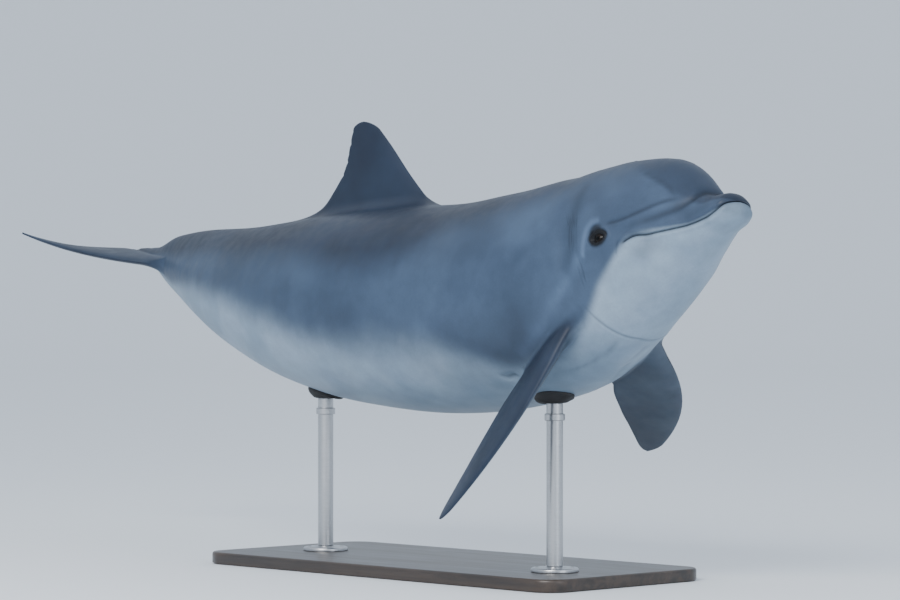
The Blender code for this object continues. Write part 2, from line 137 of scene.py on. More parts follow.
# ---- curves --------------------------------------------------------------
def curve_through(x, points):
    """Read a smooth curve through (x, value) points that never overshoots them.

    Each stretch is a cubic. Its slope at a point is the harmonic mean of the
    slopes on both sides, weighted by their lengths, and level at a peak.
    """
    xs, ys = (np.array(column, float) for column in zip(*points))
    step = np.diff(xs)
    slope = np.diff(ys) / step
    before, after = slope[:-1], slope[1:]
    tangent = np.concatenate([slope[:1], np.zeros(len(xs) - 2), slope[-1:]])
    even = before * after > 0
    weight_a, weight_b = 2 * step[1:] + step[:-1], step[1:] + 2 * step[:-1]
    mean = (weight_a + weight_b)[even] / (weight_a[even] / before[even] + weight_b[even] / after[even])
    tangent[1:-1][even] = mean
    x = np.clip(np.asarray(x, float), xs[0], xs[-1])
    place_in = np.clip(np.searchsorted(xs, x, side="right") - 1, 0, len(step) - 1)
    t = (x - xs[place_in]) / step[place_in]
    a, b = ys[place_in], ys[place_in + 1]
    ta, tb = tangent[place_in] * step[place_in], tangent[place_in + 1] * step[place_in]
    return (a * (1 + 2 * t) * (1 - t) ** 2 + b * t * t * (3 - 2 * t)
            + ta * t * (1 - t) ** 2 - tb * t * t * (1 - t))


def ease(start, end, x):
    """Rise from 0 at start to 1 at end, level at both ends."""
    t = np.clip((np.asarray(x, float) - start) / (end - start), 0, 1)
    return t * t * (3 - 2 * t)


def hump(x, width):
    """A bell curve of height 1: e to the minus (x over width) squared."""
    return np.exp(-(np.asarray(x, float) / width) ** 2)


def unit(v):
    """Scale vectors to length 1."""
    return v / np.maximum(np.linalg.norm(v, axis=-1, keepdims=True), 1e-12)


# ---- the spine -----------------------------------------------------------
def spine():
    """The spine's points and its forward, left and up directions.

    The nose turns, lifts and rolls by eased amounts over the neck and the
    tail, and the points add up the forward direction from mid-body.
    """
    neck, tail = ease(NECK_FROM, NECK_TO, SPINE_S), ease(TAIL_FROM, TAIL_TO, SPINE_S)
    turn = np.radians(NECK_TURN * neck + TAIL_TURN * tail)
    lift = np.radians(PITCH + NECK_LIFT * neck + TAIL_LIFT * tail)
    roll = np.radians(BANK + NECK_ROLL * neck + TAIL_ROLL * tail)[:, None]
    zero = np.zeros_like(turn)
    ahead = np.stack([np.cos(lift) * np.cos(turn), -np.cos(lift) * np.sin(turn), np.sin(lift)], 1)
    level_left = np.stack([np.sin(turn), np.cos(turn), zero], 1)
    level_up = np.cross(ahead, level_left)
    left = level_left * np.cos(roll) - level_up * np.sin(roll)
    up = level_up * np.cos(roll) + level_left * np.sin(roll)
    step = SPINE_S[1] - SPINE_S[0]
    run = np.zeros_like(ahead)
    run[1:] = -np.cumsum((ahead[1:] + ahead[:-1]) / 2 * step, axis=0)
    middle = np.argmin(np.abs(SPINE_S - MID_BODY))
    return run - run[middle] + np.array([0, 0, AXIS_HEIGHT]), ahead, left, up


SPINE = spine()
SEARCH_STEPS, HALVINGS = 8, 22      # steps taken to find a place's s, and a fin's footprint


def along_spine(s):
    """Read the spine's point and three directions at s, straight between its places."""
    return [np.stack([np.interp(s, SPINE_S, part[:, k]) for k in range(3)], -1) for part in SPINE]


def place(s, y, z):
    """Carry points of the straight body onto the bent one.

    The spine's point, plus y times its left and z times its up direction.
    """
    s, y, z = np.broadcast_arrays(*(np.asarray(v, float) for v in (s, y, z)))
    point, _, left, up = along_spine(s)
    return point + left * y[..., None] + up * z[..., None]


def unplace(points, s):
    """The s, y and z of points on the bent body, starting the search at s.

    Each step moves s by how far the point lies ahead of the spine's point.
    """
    for _ in range(SEARCH_STEPS):
        point, ahead, left, up = along_spine(s)
        s = s - ((points - point) * ahead).sum(-1)
    return s, ((points - point) * left).sum(-1), ((points - point) * up).sum(-1)


# ---- the body's surface --------------------------------------------------
ROW_SPACING = ((0.0, 0.0003), (0.002, 0.0009), (0.008, 0.0016), (0.03, 0.0024), (0.4, 0.0026),
               (0.46, 0.0054), (0.72, 0.0062), (0.86, 0.0155), (2.1, 0.0155), (2.3, 0.0098),
               (2.58, 0.0065), (2.595, 0.002), (BODY_LENGTH, 0.0006))
UPPER_COLUMNS, LOWER_COLUMNS = 46, 40        # on each side, above and below the mouth line
SIDE = UPPER_COLUMNS + LOWER_COLUMNS
AROUND = 2 * SIDE
MOUTH_SPACING = 0.0015                       # between columns at the mouth line
TIP_ROWS = (4e-6, 3.5e-5, 1.2e-4)            # added rows right at the tip of the beak
SMOOTHINGS = 8                               # times that rows are averaged with their neighbours
STEP_ALONG, STEP_ROUND = 0.0015, 0.004       # metres and radians, to measure the skin's direction


def row_places():
    """Places of the rows: as many as 1 over the spacing adds up to."""
    reach = np.linspace(0, BODY_LENGTH, 20001)
    steps = np.append(0, np.cumsum((reach[1] - reach[0]) / curve_through(reach[:-1], ROW_SPACING)))
    rows = np.interp(np.linspace(0, steps[-1], int(round(steps[-1])) + 1), steps, reach)
    return np.insert(rows, 1, TIP_ROWS)


ROWS = row_places()


def section_table():
    """Top, depth, half width, widest height and both squarenesses at each row.

    Curves through the stations, averaged with their neighbours so that no
    band shows where two curves meet. The ridges above and below the tail sink
    towards the notch. The tip of the beak and the end in the notch shrink as a
    quarter circle: the root of 1 minus (1 - s / length) squared.
    """
    column = list(zip(*STATIONS))
    held = np.clip(ROWS, NOSE, BODY_LENGTH - TAIL_ROUND)
    table = np.stack([curve_through(held, tuple(zip(column[0], column[k]))) for k in range(1, 7)], 1)
    table[:, :2] *= 1 - KEEL_LOSS * ease(KEEL_FROM, KEEL_TO, ROWS[:, None])
    for _ in range(SMOOTHINGS):
        table[1:-1] = table[1:-1] / 2 + (table[:-2] + table[2:]) / 4
    front = 1 - np.clip(1 - ROWS / NOSE, 0, 1) ** 2
    rear = 1 - np.clip(1 - (BODY_LENGTH - ROWS) / TAIL_ROUND, 0, 1) ** 2
    size = np.sqrt(np.maximum(front * rear, 1e-10))
    pole = np.where(ROWS < 0.5, NOSE_HEIGHT, 0.0)
    table[:, 0] = pole + (table[:, 0] - pole) * size
    table[:, 1] = -pole + (table[:, 1] + pole) * size
    table[:, 2] *= size
    table[:, 3] = pole + (table[:, 3] - pole) * size
    return table


SECTION = section_table()


def section_at(s):
    """Read the section table at any s."""
    return [np.interp(s, ROWS, SECTION[:, k]) for k in range(6)]


def body_point(s, around):
    """y and z of the skin: a squared-off ellipse, wider or squarer in each half.

    The radius is (|cos| to the p plus |sin| to the p) to the minus 1 / p.
    """
    top, depth, half, middle, square_up, square_down = section_at(s)
    c, n = np.cos(around), np.sin(around)
    power = np.where(c > 0, square_up, square_down)
    size = (np.abs(c) ** power + np.abs(n) ** power) ** (-1 / power)
    return half * n * size, middle + np.where(c > 0, top - middle, middle + depth) * c * size


def share_out(s, y, z):
    """How far out points lie, 1 being on the skin, and their angle from the back.

    With both reaches as shares of their half size, it is (|up| to the p plus
    |side| to the p) to the 1 / p.
    """
    top, depth, half, middle, square_up, square_down = section_at(s)
    c, n = (z - middle) / np.where(z > middle, top - middle, middle + depth), y / half
    power = np.where(z > middle, square_up, square_down)
    return (np.abs(c) ** power + np.abs(n) ** power) ** (1 / power), np.arctan2(n, c) % (2 * math.pi)


def around_at_height(s, z):
    """Angle from the back, on the left side, where the skin is at height z.

    With z as a share of its half size, the angle's tangent is (share to the
    minus p, less 1) to the 1 / p.
    """
    top, depth, _, middle, square_up, square_down = section_at(s)
    above = z > middle
    share = np.abs(z - middle) / np.where(above, top - middle, middle + depth)
    power = np.where(above, square_up, square_down)
    share = np.clip(share, 1e-6, 1 - 1e-6)
    angle = np.arctan((share ** -power - 1) ** (1 / power))
    return np.where(above, angle, math.pi - angle)


def around_at_side(s, y):
    """Angle from the back where the upper skin is at y, negative on the right.

    With share as y over the half width, to the p, the angle's tangent is
    (share / (1 - share)) to the 1 / p.
    """
    _, _, half, _, power, _ = section_at(s)
    share = np.clip(np.abs(y) / half, 1e-6, 1 - 1e-6) ** power
    return np.arctan((share / (1 - share)) ** (1 / power)) * np.sign(y)


def surface(s, around):
    """Point and outward normal of the bare body, by small steps both ways.

    The normal is the cross product of the step round and the step along.
    """
    reach = np.clip(0.4 * np.minimum(s, BODY_LENGTH - s), 1e-6, STEP_ALONG)
    turn = STEP_ROUND
    ahead = place(s - reach, *body_point(s - reach, around))
    behind = place(s + reach, *body_point(s + reach, around))
    over = place(s, *body_point(s, around - turn))
    under = place(s, *body_point(s, around + turn))
    return place(s, *body_point(s, around)), unit(np.cross(under - over, behind - ahead))


# ---- folds and swellings of the skin -------------------------------------
# Each fold on both sides: its line as (s, degrees from the back), half width and
# depth in metres, how dark its painted shade is, and how much of each end fades out.
FOLDS = {
    "melon crease": (((0.091, 0), (0.093, 20), (0.096, 40), (0.103, 58), (0.131, 75), (0.194, 82.5),
                      (0.243, 84.5), (0.3, 91)), 0.005, 0.003, 0.62, (0.0, 0.55)),
    "cheek line": (((0.116, 62), (0.139, 65.5), (0.17, 70), (0.213, 75), (0.271, 79.5), (0.322, 81)),
                   0.0028, 0.0012, 0.6, (0.25, 0.1)),
    "melon line": (((0.128, 68), (0.139, 64), (0.151, 58), (0.17, 53), (0.201, 48), (0.24, 41.5),
                    (0.301, 31)), 0.0055, 0.0008, 0.34, (0.2, 0.5)),
    "throat crease": (((0.421, 125), (0.41, 136), (0.396, 155), (0.385, 180)),
                      0.0032, 0.0016, 0.42, (0.3, 0.0)),
    "chest crease": (((0.6, 159), (0.505, 165.5), (0.432, 166.5), (0.396, 162)),
                     0.005, 0.0022, 0.25, (0.3, 0.15)),
    "fold under the eye": (((0.396, 99), (0.391, 108), (0.389, 118)), 0.0026, 0.001, 0.35, (0.3, 0.3)),
    "second fold under the eye": (((0.404, 102), (0.399, 112), (0.398, 122)),
                                  0.0022, 0.0008, 0.22, (0.3, 0.3)),
    "fold at the mouth's corner": (((0.276, 93), (0.286, 98), (0.29, 104), (0.286, 110)),
                                   0.003, 0.0012, 0.22, (0.3, 0.3)),
    "armpit fold": (((0.748, 146), (0.724, 148.5), (0.7, 149)), 0.0062, 0.0036, 0.62, (0.35, 0.0)),
    "flipper fold": (((0.425, 126), (0.44, 136), (0.455, 145)), 0.008, 0.0016, 0.12, (0.3, 0.3)),
}
# fine upright wrinkles behind the eye: first place, spacing and count
WRINKLE_START, WRINKLE_STEP, WRINKLE_COUNT = 0.3985, 0.0052, 6
WRINKLE_FORM = (0.0014, 0.0007, 0.5, (0.3, 0.35))      # the same values as a fold's
FOLDS_END = 0.85                                       # no folds lie further back
# Broad forms on both sides: place (s, degrees), reach in s and round, height
FORMS = (
    (0.336, 86, 0.034, 0.03, 0.004),         # mound of the eye
    (0.44, 88, 0.022, 0.075, -0.0045),       # hollow behind it
    (0.2, 93, 0.06, 0.012, 0.0016),          # roll of the upper lip
    (0.23, 120, 0.05, 0.03, 0.002),          # cheek of the lower jaw
    (0.033, 138, 0.03, 0.045, 0.0085),       # chin
    (0.352, 0, 0.03, 0.04, 0.0015),          # mound of the blowhole
    (0.505, 20, 0.04, 0.09, -0.003),         # nape
)


def folded(around):
    """The angle from the back, counted alike on both sides."""
    return np.abs((around + math.pi) % (2 * math.pi) - math.pi)


def chart(s, degrees):
    """Lay the skin out flat: metres back, and metres round at the local half width."""
    return s, np.radians(degrees) * np.interp(s, ROWS, SECTION[:, 2])


def line_through(points):
    """A finer line on the chart through (s, degrees) points.

    Both are smooth curves over the length run so far.
    """
    s, degrees = np.array(points, float).T
    run = np.append(0, np.cumsum(np.hypot(np.diff(s), np.diff(chart(s, degrees)[1]))))
    finer = np.linspace(0, run[-1], 4 * len(s))
    fine_s = curve_through(finer, tuple(zip(run, s)))
    return np.stack(chart(fine_s, curve_through(finer, tuple(zip(run, degrees)))), 1)


def distance_to(line, s, w):
    """Distance of places (s, w) to a line, and how far along it they lie, 0 to 1.

    On each straight part the nearest place is a + t (b - a), t held to 0..1,
    and the nearest part of all counts.
    """
    best, where = np.full(s.shape, 9.0), np.zeros(s.shape)
    for k, (a, b) in enumerate(zip(line, line[1:])):
        step = b - a
        t = np.clip(((s - a[0]) * step[0] + (w - a[1]) * step[1]) / (step @ step), 0, 1)
        away = np.hypot(s - a[0] - t * step[0], w - a[1] - t * step[1])
        where = np.where(away < best, (k + t) / (len(line) - 1), where)
        best = np.minimum(best, away)
    return best, where


def fold_list():
    """All folds, with the row of fine wrinkles behind the eye worked out."""
    folds = [(line_through(points), *form) for points, *form in FOLDS.values()]
    for k in range(WRINKLE_COUNT):
        s = WRINKLE_START + k * WRINKLE_STEP
        lean, lift = 0.0025 * k, 2.0 * math.sin(2.4 * k)
        points = ((s + 0.006 + lean, 67 + lift), (s + 0.001, 78), (s, 88), (s + 0.002, 97 - lift))
        folds.append((line_through(points), *WRINKLE_FORM))
    return folds


FOLD_LINES = fold_list()


def relief(s, around):
    """Height of the folds and swellings over the bare body, and the painted shade in the folds.

    Each fold is a bell-shaped groove across its line, with a faint swelling
    at both sides. Each broad form is a bell in both directions.
    """
    height, dark = np.zeros(s.shape), np.zeros(s.shape)
    near = s < FOLDS_END
    sn, wn = chart(s[near], np.degrees(folded(around[near])))
    lift, shade = np.zeros(sn.shape), np.zeros(sn.shape)
    for line, width, depth, strength, fade in FOLD_LINES:
        away, where = distance_to(line, sn, wn)
        ends = 1.0
        if fade[0]:
            ends = ends * ease(0, fade[0], where)
        if fade[1]:
            ends = ends * ease(1, 1 - fade[1], where)
        lift += ends * depth * (0.35 * hump(away - 2.4 * width, 1.6 * width) - hump(away, width))
        # painted shade: darkest along each fold's line, where shade falls in the crease
        shade = np.maximum(shade, strength * ends * hump(away, 0.9 * width))
    for at_s, at_degrees, reach_s, reach_w, rise in FORMS:
        at_w = chart(at_s, at_degrees)[1]
        lift += rise * hump(sn - at_s, reach_s) * hump(wn - at_w, reach_w)
    height[near], dark[near] = lift, shade
    return height, dark


# The closed mouth, as (height, distance from its line, half width): the groove,
# the hollow round it, and the lip on the lower and on the upper side
GROOVE, HOLLOW = (-0.0042, 0.0, 0.0017), (-0.0016, 0.0, 0.005)
LOWER_LIP, UPPER_LIP = (0.0026, 0.0085, 0.006), (0.002, 0.0085, 0.006)


def swell(away, form):
    """A bell-shaped form of (height, distance, half width): height times hump(away - distance)."""
    height, at, width = form
    return height * hump(away - at, width)


def mouth_relief(s, away):
    """The closed mouth: a narrow deep groove between two rolled lips, with painted shade along the groove.

    away is the distance round the body from the mouth line, positive below.
    """
    shut = ease(MOUTH_END + 0.004, MOUTH_END - 0.01, s)
    reach = np.abs(away)
    lip = np.where(away > 0, swell(reach, LOWER_LIP), swell(reach, UPPER_LIP)) * ease(0, 0.02, s)
    # painted shade along the groove: narrow and dark, with a fainter spread
    dark = np.maximum(hump(reach, 0.0022), 0.35 * hump(reach, 0.006)) * shut
    return (lip + swell(reach, GROOVE) + swell(reach, HOLLOW)) * shut, dark


# ---- markings ------------------------------------------------------------
# edge between the dark side and the pale belly, degrees from the back over s
PALE_EDGE = ((0.0, 92), (0.03, 102), (0.06, 105), (0.1, 102), (0.14, 96), (0.2, 93), (0.25, 95),
             (0.3, 107), (0.36, 122), (0.44, 139), (0.56, 148), (0.68, 146), (0.78, 134), (0.92, 121),
             (1.1, 119), (1.32, 119), (1.48, 113), (1.6, 106), (1.75, 98), (1.95, 94), (2.15, 104),
             (2.3, 118), (2.6, 125))
PALE_SOFT = ((0.0, 6), (0.12, 6), (0.25, 9), (0.4, 10), (0.6, 12), (0.8, 20), (1.1, 24),
             (1.5, 22), (2.2, 24), (2.6, 24))
# lower edge of the dark cape along the back, and how dark it is
CAPE_EDGE = ((0.0, 70), (0.09, 62), (0.14, 60), (0.2, 49), (0.3, 31), (0.4, 34), (0.49, 48), (0.63, 54),
             (0.87, 56), (1.0, 68), (1.16, 77), (1.33, 73), (1.53, 63), (1.9, 55), (2.2, 62), (2.6, 70))
CAPE_DEPTH = ((0.0, 0.75), (0.08, 0.65), (0.12, 0.5), (0.34, 0.5), (0.55, 0.85), (1.0, 1.0), (2.6, 1.0))
HEAD_END, CAPE_SOFT = 0.3, (6.0, 14.0)       # softness of that edge on the head and behind it
SHADE_LEAST, SHADE_MOST = -1.5, 1.0          # what the strokes below may add up to
# Soft strokes that lighten (below 0) or darken the colour on both sides: line, half width and strength
STROKES = {
    # painted shade in the hollow behind the eye, by its wrinkles
    "painted shade behind the eye": (((0.408, 52), (0.414, 75), (0.421, 92), (0.432, 106)), 0.018, 0.62),
    "temple": (((0.17, 60), (0.235, 58), (0.31, 60)), 0.03, -0.4),
    "under the melon": (((0.15, 74), (0.21, 79), (0.27, 84)), 0.01, -0.25),
    "flank streak": (((0.925, 113), (0.82, 106), (0.724, 99), (0.667, 91.5), (0.61, 84.5),
                      (0.544, 72.5), (0.48, 61.5)), 0.042, -0.42),
    "shoulder": (((0.7, 128), (0.64, 122), (0.59, 114)), 0.06, 0.55),
    "belly side": (((0.95, 126), (0.892, 135), (0.811, 144), (0.769, 154)), 0.05, 0.4),
    "cheek": (((0.2, 108), (0.232, 113)), 0.022, 0.6),
    "upper lip": (((0.062, 76), (0.082, 82), (0.105, 88)), 0.011, 0.35),
    "jaw under the eye": (((0.33, 104), (0.345, 112)), 0.02, 0.15),
    "stripe to the flipper": (((0.4, 101), (0.43, 108), (0.5, 121), (0.57, 131), (0.635, 138)),
                              0.011, -0.75),
    "rim over the eye": (((0.338, 78), (0.35, 78), (0.363, 80.5), (0.373, 85), (0.38, 91.5), (0.384, 98)),
                         0.0058, -1.5),
    "beak tip": (((0.0, 60), (0.012, 90), (0.01, 130)), 0.022, 0.55),
    "tail stock": (((1.7, 60), (2.0, 75), (2.3, 90)), 0.05, 0.25),
}


def markings(s, around):
    """Where the skin is pale, dark as the cape, and shaded by the soft strokes.

    Pale and cape ease from 0 to 1 over their softness on both sides of their
    edge. Each stroke adds a bell across its line.
    """
    degrees = np.degrees(folded(around))
    pale = ease(-1, 1, (degrees - curve_through(s, PALE_EDGE)) / curve_through(s, PALE_SOFT))
    cape = ease(1, -1, (degrees - curve_through(s, CAPE_EDGE)) / np.where(s < HEAD_END, *CAPE_SOFT))
    cape = cape * curve_through(s, CAPE_DEPTH)
    shade = np.zeros(s.shape)
    flat = chart(s, degrees)
    for points, width, strength in STROKES.values():
        shade += strength * hump(distance_to(line_through(points), *flat)[0], width)
    return pale, cape, np.clip(shade, SHADE_LEAST, SHADE_MOST)


# ---- gathering a mesh ----------------------------------------------------
MARKS = ("pale", "cape", "shade", "dark", "lid", "along", "round")


def cells(grid):
    """The four corners of each cell of a grid, once round."""
    return np.stack([grid[:-1, :-1], grid[:-1, 1:], grid[1:, 1:], grid[1:, :-1]], 2)


def closed(rings):
    """A grid of rings with its first column repeated at the end."""
    return np.concatenate([rings, rings[:, :1]], 1)


def add_object(name, data):
    """Put a new object into the scene."""
    thing = bpy.data.objects.new(name, data)
    bpy.context.scene.collection.objects.link(thing)
    return thing


class Piece:
    """Points, faces, the places of their corners on the bake map, and marks."""

    def __init__(self):
        self.points, self.marks, self.faces, self.maps, self.count = [], [], [], [], 0

    def add(self, points, **marks):
        """Add points with their marks, and give their numbers back in the same grid."""
        shape = points.shape[:-1]
        first = self.count
        self.points.append(points.reshape(-1, 3))
        self.count += len(self.points[-1])
        self.marks.append(np.array([np.broadcast_to(marks.get(name, 0.0), shape).ravel() for name in MARKS],
                                   np.float32))
        return np.arange(first, self.count).reshape(shape)

    def spread(self, numbers, area, skip=None):
        """Quads over a grid of point numbers, laid evenly over an area of the map."""
        u, v = (np.linspace(area[k], area[k + 2], count) for k, count in enumerate(numbers.shape))
        keep = slice(None) if skip is None else ~skip
        self.faces.append(cells(numbers)[keep].reshape(-1, 4))
        self.maps.append(cells(np.stack(np.meshgrid(u, v, indexing="ij"), 2))[keep].reshape(-1, 4, 2))

    def fan(self, ring, centre, area, inward=False):
        """Triangles from a closed ring of point numbers to one centre point."""
        turn = np.arange(len(ring)) * 2 * math.pi / len(ring)
        low, high = np.array(area[:2]), np.array(area[2:])
        rim = (low + high) / 2 + (high - low) / 2 * np.stack([np.cos(turn), np.sin(turn)], 1)
        order = slice(None, None, -1 if inward else 1)
        self.faces.append(np.stack([*(ring, np.roll(ring, -1))[order], np.full(len(ring), centre)], 1))
        self.maps.append(np.stack([*(rim, np.roll(rim, -1, axis=0))[order], 0 * rim + (low + high) / 2], 1))

    def build(self, name, finish, sharp=None):
        """Make the mesh object, shaded smooth, with its bake map and its marks."""
        mesh = bpy.data.meshes.new(name)
        faces = [face for part in self.faces for face in part.tolist()]
        mesh.from_pydata(np.concatenate(self.points).tolist(), [], faces)
        bake = mesh.uv_layers.new(name="OFBake")
        bake.data.foreach_set("uv", np.concatenate([part.ravel() for part in self.maps]).astype(np.float32))
        for mark, values in zip(MARKS, np.concatenate(self.marks, 1)):
            if values.any():
                mesh.attributes.new(mark, "FLOAT", "POINT").data.foreach_set("value", values)
        mesh.shade_smooth()
        if sharp:
            mesh.set_sharp_from_angle(angle=math.radians(sharp))
        mesh.materials.append(finish)
        return add_object(name, mesh)


# ---- the skin's main grid ------------------------------------------------
CROWDS = np.linspace(0.01, 7.0, 400)
CROWD_TO, EVEN_FROM = 0.3, 0.62              # columns crowd up to here, and are even from here


def stretch(count, total, spacing):
    """Lengths of count steps that add up to total and start out at spacing.

    They grow as sinh(crowd x) over sinh(crowd), and the crowding is the one
    whose first step fits: sinh(crowd) over crowd is total / (count spacing).
    """
    crowd = np.interp(total / (count * spacing), np.sinh(CROWDS) / CROWDS, CROWDS)
    return total * np.sinh(crowd * np.arange(count + 1) / count) / np.sinh(crowd)


def column_angles():
    """Angle of each column at each row, and its distance from the mouth line.

    Columns are spaced by length round the body, one of them lies on the mouth
    line, and at the head the others crowd towards it.
    """
    rows = ROWS[1:-1]
    table = np.linspace(0, math.pi, 361)
    y, z = body_point(rows[:, None] + 0 * table, table[None] + 0 * rows[:, None])
    run = np.cumsum(np.hypot(np.diff(y, axis=1), np.diff(z, axis=1)), axis=1)
    run = np.concatenate([np.zeros((len(rows), 1)), run], 1)
    guide = curve_through(rows, MOUTH_LINE)
    mouth = around_at_height(rows, guide)
    even = ease(CROWD_TO, EVEN_FROM, rows)
    angles, away = np.zeros((len(rows), SIDE + 1)), np.zeros((len(rows), SIDE + 1))
    for i in range(len(rows)):
        at_mouth = np.interp(mouth[i], table, run[i])
        parts = []
        for count, total in ((UPPER_COLUMNS, at_mouth), (LOWER_COLUMNS, run[i, -1] - at_mouth)):
            spacing = MOUTH_SPACING * (1 - even[i]) + total / count * even[i]
            parts.append(stretch(count, total, spacing))
        reach = np.concatenate([at_mouth - parts[0][::-1], at_mouth + parts[1][1:]])
        angles[i] = np.interp(reach, run[i], table)
        away[i] = reach - at_mouth
    return angles, away


JAW_AHEAD, JAW_FROM = 0.0045, 0.045          # how far the lower jaw juts out, and from where on


def skin_rows():
    """The grid of the whole body: points, normals, s and angle of each place, and its painted shade from
    the folds and the mouth's groove.

    A point is the bare body plus its normal times the folds, forms and lips.
    The upper half of the beak's tip is set back by an eased amount, and the
    body's last part is drawn ahead into the notch.
    """
    angles, away = column_angles()
    around = np.concatenate([angles[:, :SIDE], 2 * math.pi - angles[:, :0:-1]], 1)
    away = np.concatenate([away[:, :SIDE], away[:, :0:-1]], 1)
    s = np.broadcast_to(ROWS[1:-1, None], around.shape).copy()
    points, normals = surface(s, around)
    height, dark = relief(s, around)
    # line is the painted shade along the mouth's groove
    lips, line = mouth_relief(s, away)
    points = points + normals * (height + lips)[..., None]
    _, ahead, _, _ = along_spine(s)
    setback = JAW_AHEAD * ease(JAW_FROM, 0.0, s) * ease(0.0, -0.006, away)
    tuck = NOTCH_TUCK * ease(NOTCH_FROM, BODY_LENGTH, s)
    points = points + ahead * (tuck - setback)[..., None]
    return points, normals, s, around, np.maximum(dark, line)


# The dark skin round the eye, deepened by painted shade from the lids and the
# socket, as ovals: middle back and up from the eye, half length and half height;
# how far along s it may reach, how dark it is, and its soft edge in shares of an oval
SHADOW_OVAL, SHADOW_LOBE = (-0.001, -0.001, 0.0235, 0.0175), (0.005, 0.015, 0.0165, 0.0175)
SHADOW_REACH, SHADOW_DEPTH, SHADOW_EDGE = 0.05, 0.92, (1.42, 0.64)


def eye_shadow(s, around):
    """The dark skin round the eye with painted socket shade: a soft oval with a lobe above it.

    Distances are shares of each oval's half sizes, and the nearer oval counts.
    """
    back, up = s - EYE_PLACE[0], body_point(s, around)[1] - EYE_PLACE[2]
    away = np.min([np.hypot((back - middle) / long, (up - over) / tall)
                   for middle, over, long, tall in (SHADOW_OVAL, SHADOW_LOBE)], axis=0)
    return np.where(np.abs(back) < SHADOW_REACH, ease(*SHADOW_EDGE, away), 0.0)


def body_marks(s, around, dark):
    """Marks of places on the body."""
    pale, cape, shade = markings(s, around)
    # the dark eye patch: partly the skin's own colour, partly painted socket shade
    dark = np.maximum(dark, SHADOW_DEPTH * eye_shadow(s, around))
    return {"pale": pale, "cape": cape, "shade": shade, "dark": dark, "along": s, "round": folded(around)}


def beside(area, reach):
    """A small area of the bake map just past another one's end."""
    return area[2] + 0.004, area[1], area[2] + reach, area[1] + 0.02


def patch_loop(grid, rows, columns):
    """The rim of a block of the grid, once round: front, over, rear and back."""
    (a, b), (c, d) = rows, columns
    wide, tall = np.arange(c, d), np.arange(a, b)
    front = grid[a, wide % AROUND]
    over = grid[tall, d % AROUND]
    rear = grid[b, np.arange(d, c, -1) % AROUND]
    back = grid[np.arange(b, a, -1), c % AROUND]
    return np.concatenate([front, over, rear, back])


# ---- fins ----------------------------------------------------------------
TIP_ROUND = 0.93                    # from here on a fin's tip is rounded off
NOSE_SHARE, EDGE_SHARE = 0.012, 0.004   # share of the chord rounded at both edges


def foil_half(along):
    """Half thickness of a fin's section: 1.45 root(a) (1 - a) + 0.06 root(a)."""
    return 1.45 * np.sqrt(along) * (1 - along) + 0.06 * np.sqrt(along)


def tip_size(u):
    """Share of the chord left near a fin's tip: an ellipse from TIP_ROUND on.

    It is the root of 1 minus (the share of the way past TIP_ROUND) squared.
    """
    return np.sqrt(np.maximum(1 - np.clip((u - TIP_ROUND) / (1 - TIP_ROUND), 0, 1) ** 2, 0.008))


def chord_about(front, rear, u):
    """Round a fin's tip: the chord shrinks about a place 55 hundredths of the way back."""
    size = tip_size(u)
    middle = front * 0.45 + rear * 0.55
    return middle + (front - middle) * size, middle + (rear - middle) * size


def dorsal_surface(u, along, half):
    """A place on the back fin, at u of its height.

    The chord runs from the front curve to the rear one, less a bell for each
    nick. The thickness is the taper times half, and the height runs evenly.
    """
    inner = np.maximum(u, 0.0)
    front, rear = curve_through(inner, DORSAL_FRONT), curve_through(inner, DORSAL_REAR)
    for at, depth, width in DORSAL_NICKS:
        rear = rear - depth * hump(u - at, width)
    front, rear = chord_about(front, rear, u)
    thick = DORSAL_THICK * curve_through(inner, DORSAL_TAPER)
    height = DORSAL_ROOT + (DORSAL_TOP - DORSAL_ROOT) * u
    return place(front + (rear - front) * along, thick * half, height)


def flipper_surface(side):
    """Give the function that reads a place on one flipper, at u of its length.

    The chord lies back by SWEEP u to the SWEEP_POWER, less SWEEP_BOW sin(pi u)
    and ROOT_FORWARD, all as shares of the length.
    """
    down, back, feather = (math.radians(v) for v in FLIPPER_POSE[side])
    outward = 1 if side == "left" else -1
    out, below, rear = np.array([0, outward, 0.0]), np.array([0, 0, -1.0]), np.array([-1.0, 0, 0])
    level = math.cos(down) * out + math.sin(down) * below
    span = math.cos(back) * level + math.sin(back) * rear
    chord = math.cos(back) * rear - math.sin(back) * level
    chord = math.cos(feather) * chord + math.sin(feather) * np.cross(span, chord) * outward
    normal = np.cross(span, chord)
    point, ahead, left, up = along_spine(FLIPPER_ROOT[0])
    turn = np.stack([ahead, left, up])
    root = point + np.array([0, outward * FLIPPER_ROOT[1], FLIPPER_ROOT[2]]) @ turn

    def at(u, along, half):
        inner = np.clip(u, 0.0, 1.0)
        sweep = SWEEP * inner ** SWEEP_POWER - SWEEP_BOW * np.sin(math.pi * inner) - ROOT_FORWARD
        width = FLIPPER_CHORD * curve_through(inner, FLIPPER_WIDTH)
        thick = FLIPPER_THICK * curve_through(inner, FLIPPER_TAPER)
        across = FLIPPER_LENGTH * sweep + width * (0.6 + (along - 0.6) * tip_size(u))
        offset = ((u * FLIPPER_LENGTH)[..., None] * span + across[..., None] * chord
                  + (thick * half)[..., None] * normal)
        return root + offset @ turn
    return at


def fluke_surface(side):
    """Give the function that reads a place on one fluke, at u of its span.

    The chord runs from the front curve to the rear one, and the fluke rises
    towards its tip by FLUKE_RISE times u cubed.
    """
    outward = 1 if side == "left" else -1

    def at(u, along, half):
        inner = np.clip(u, 0.0, 1.0)
        front, rear = chord_about(curve_through(inner, FLUKE_FRONT), curve_through(inner, FLUKE_REAR), u)
        thick = FLUKE_THICK * curve_through(inner, FLUKE_TAPER)
        y = outward * (FLUKE_INNER + (FLUKE_SPAN - FLUKE_INNER) * u)
        return place(front + (rear - front) * along, y, FLUKE_RISE * inner ** 3 + thick * half)
    return at


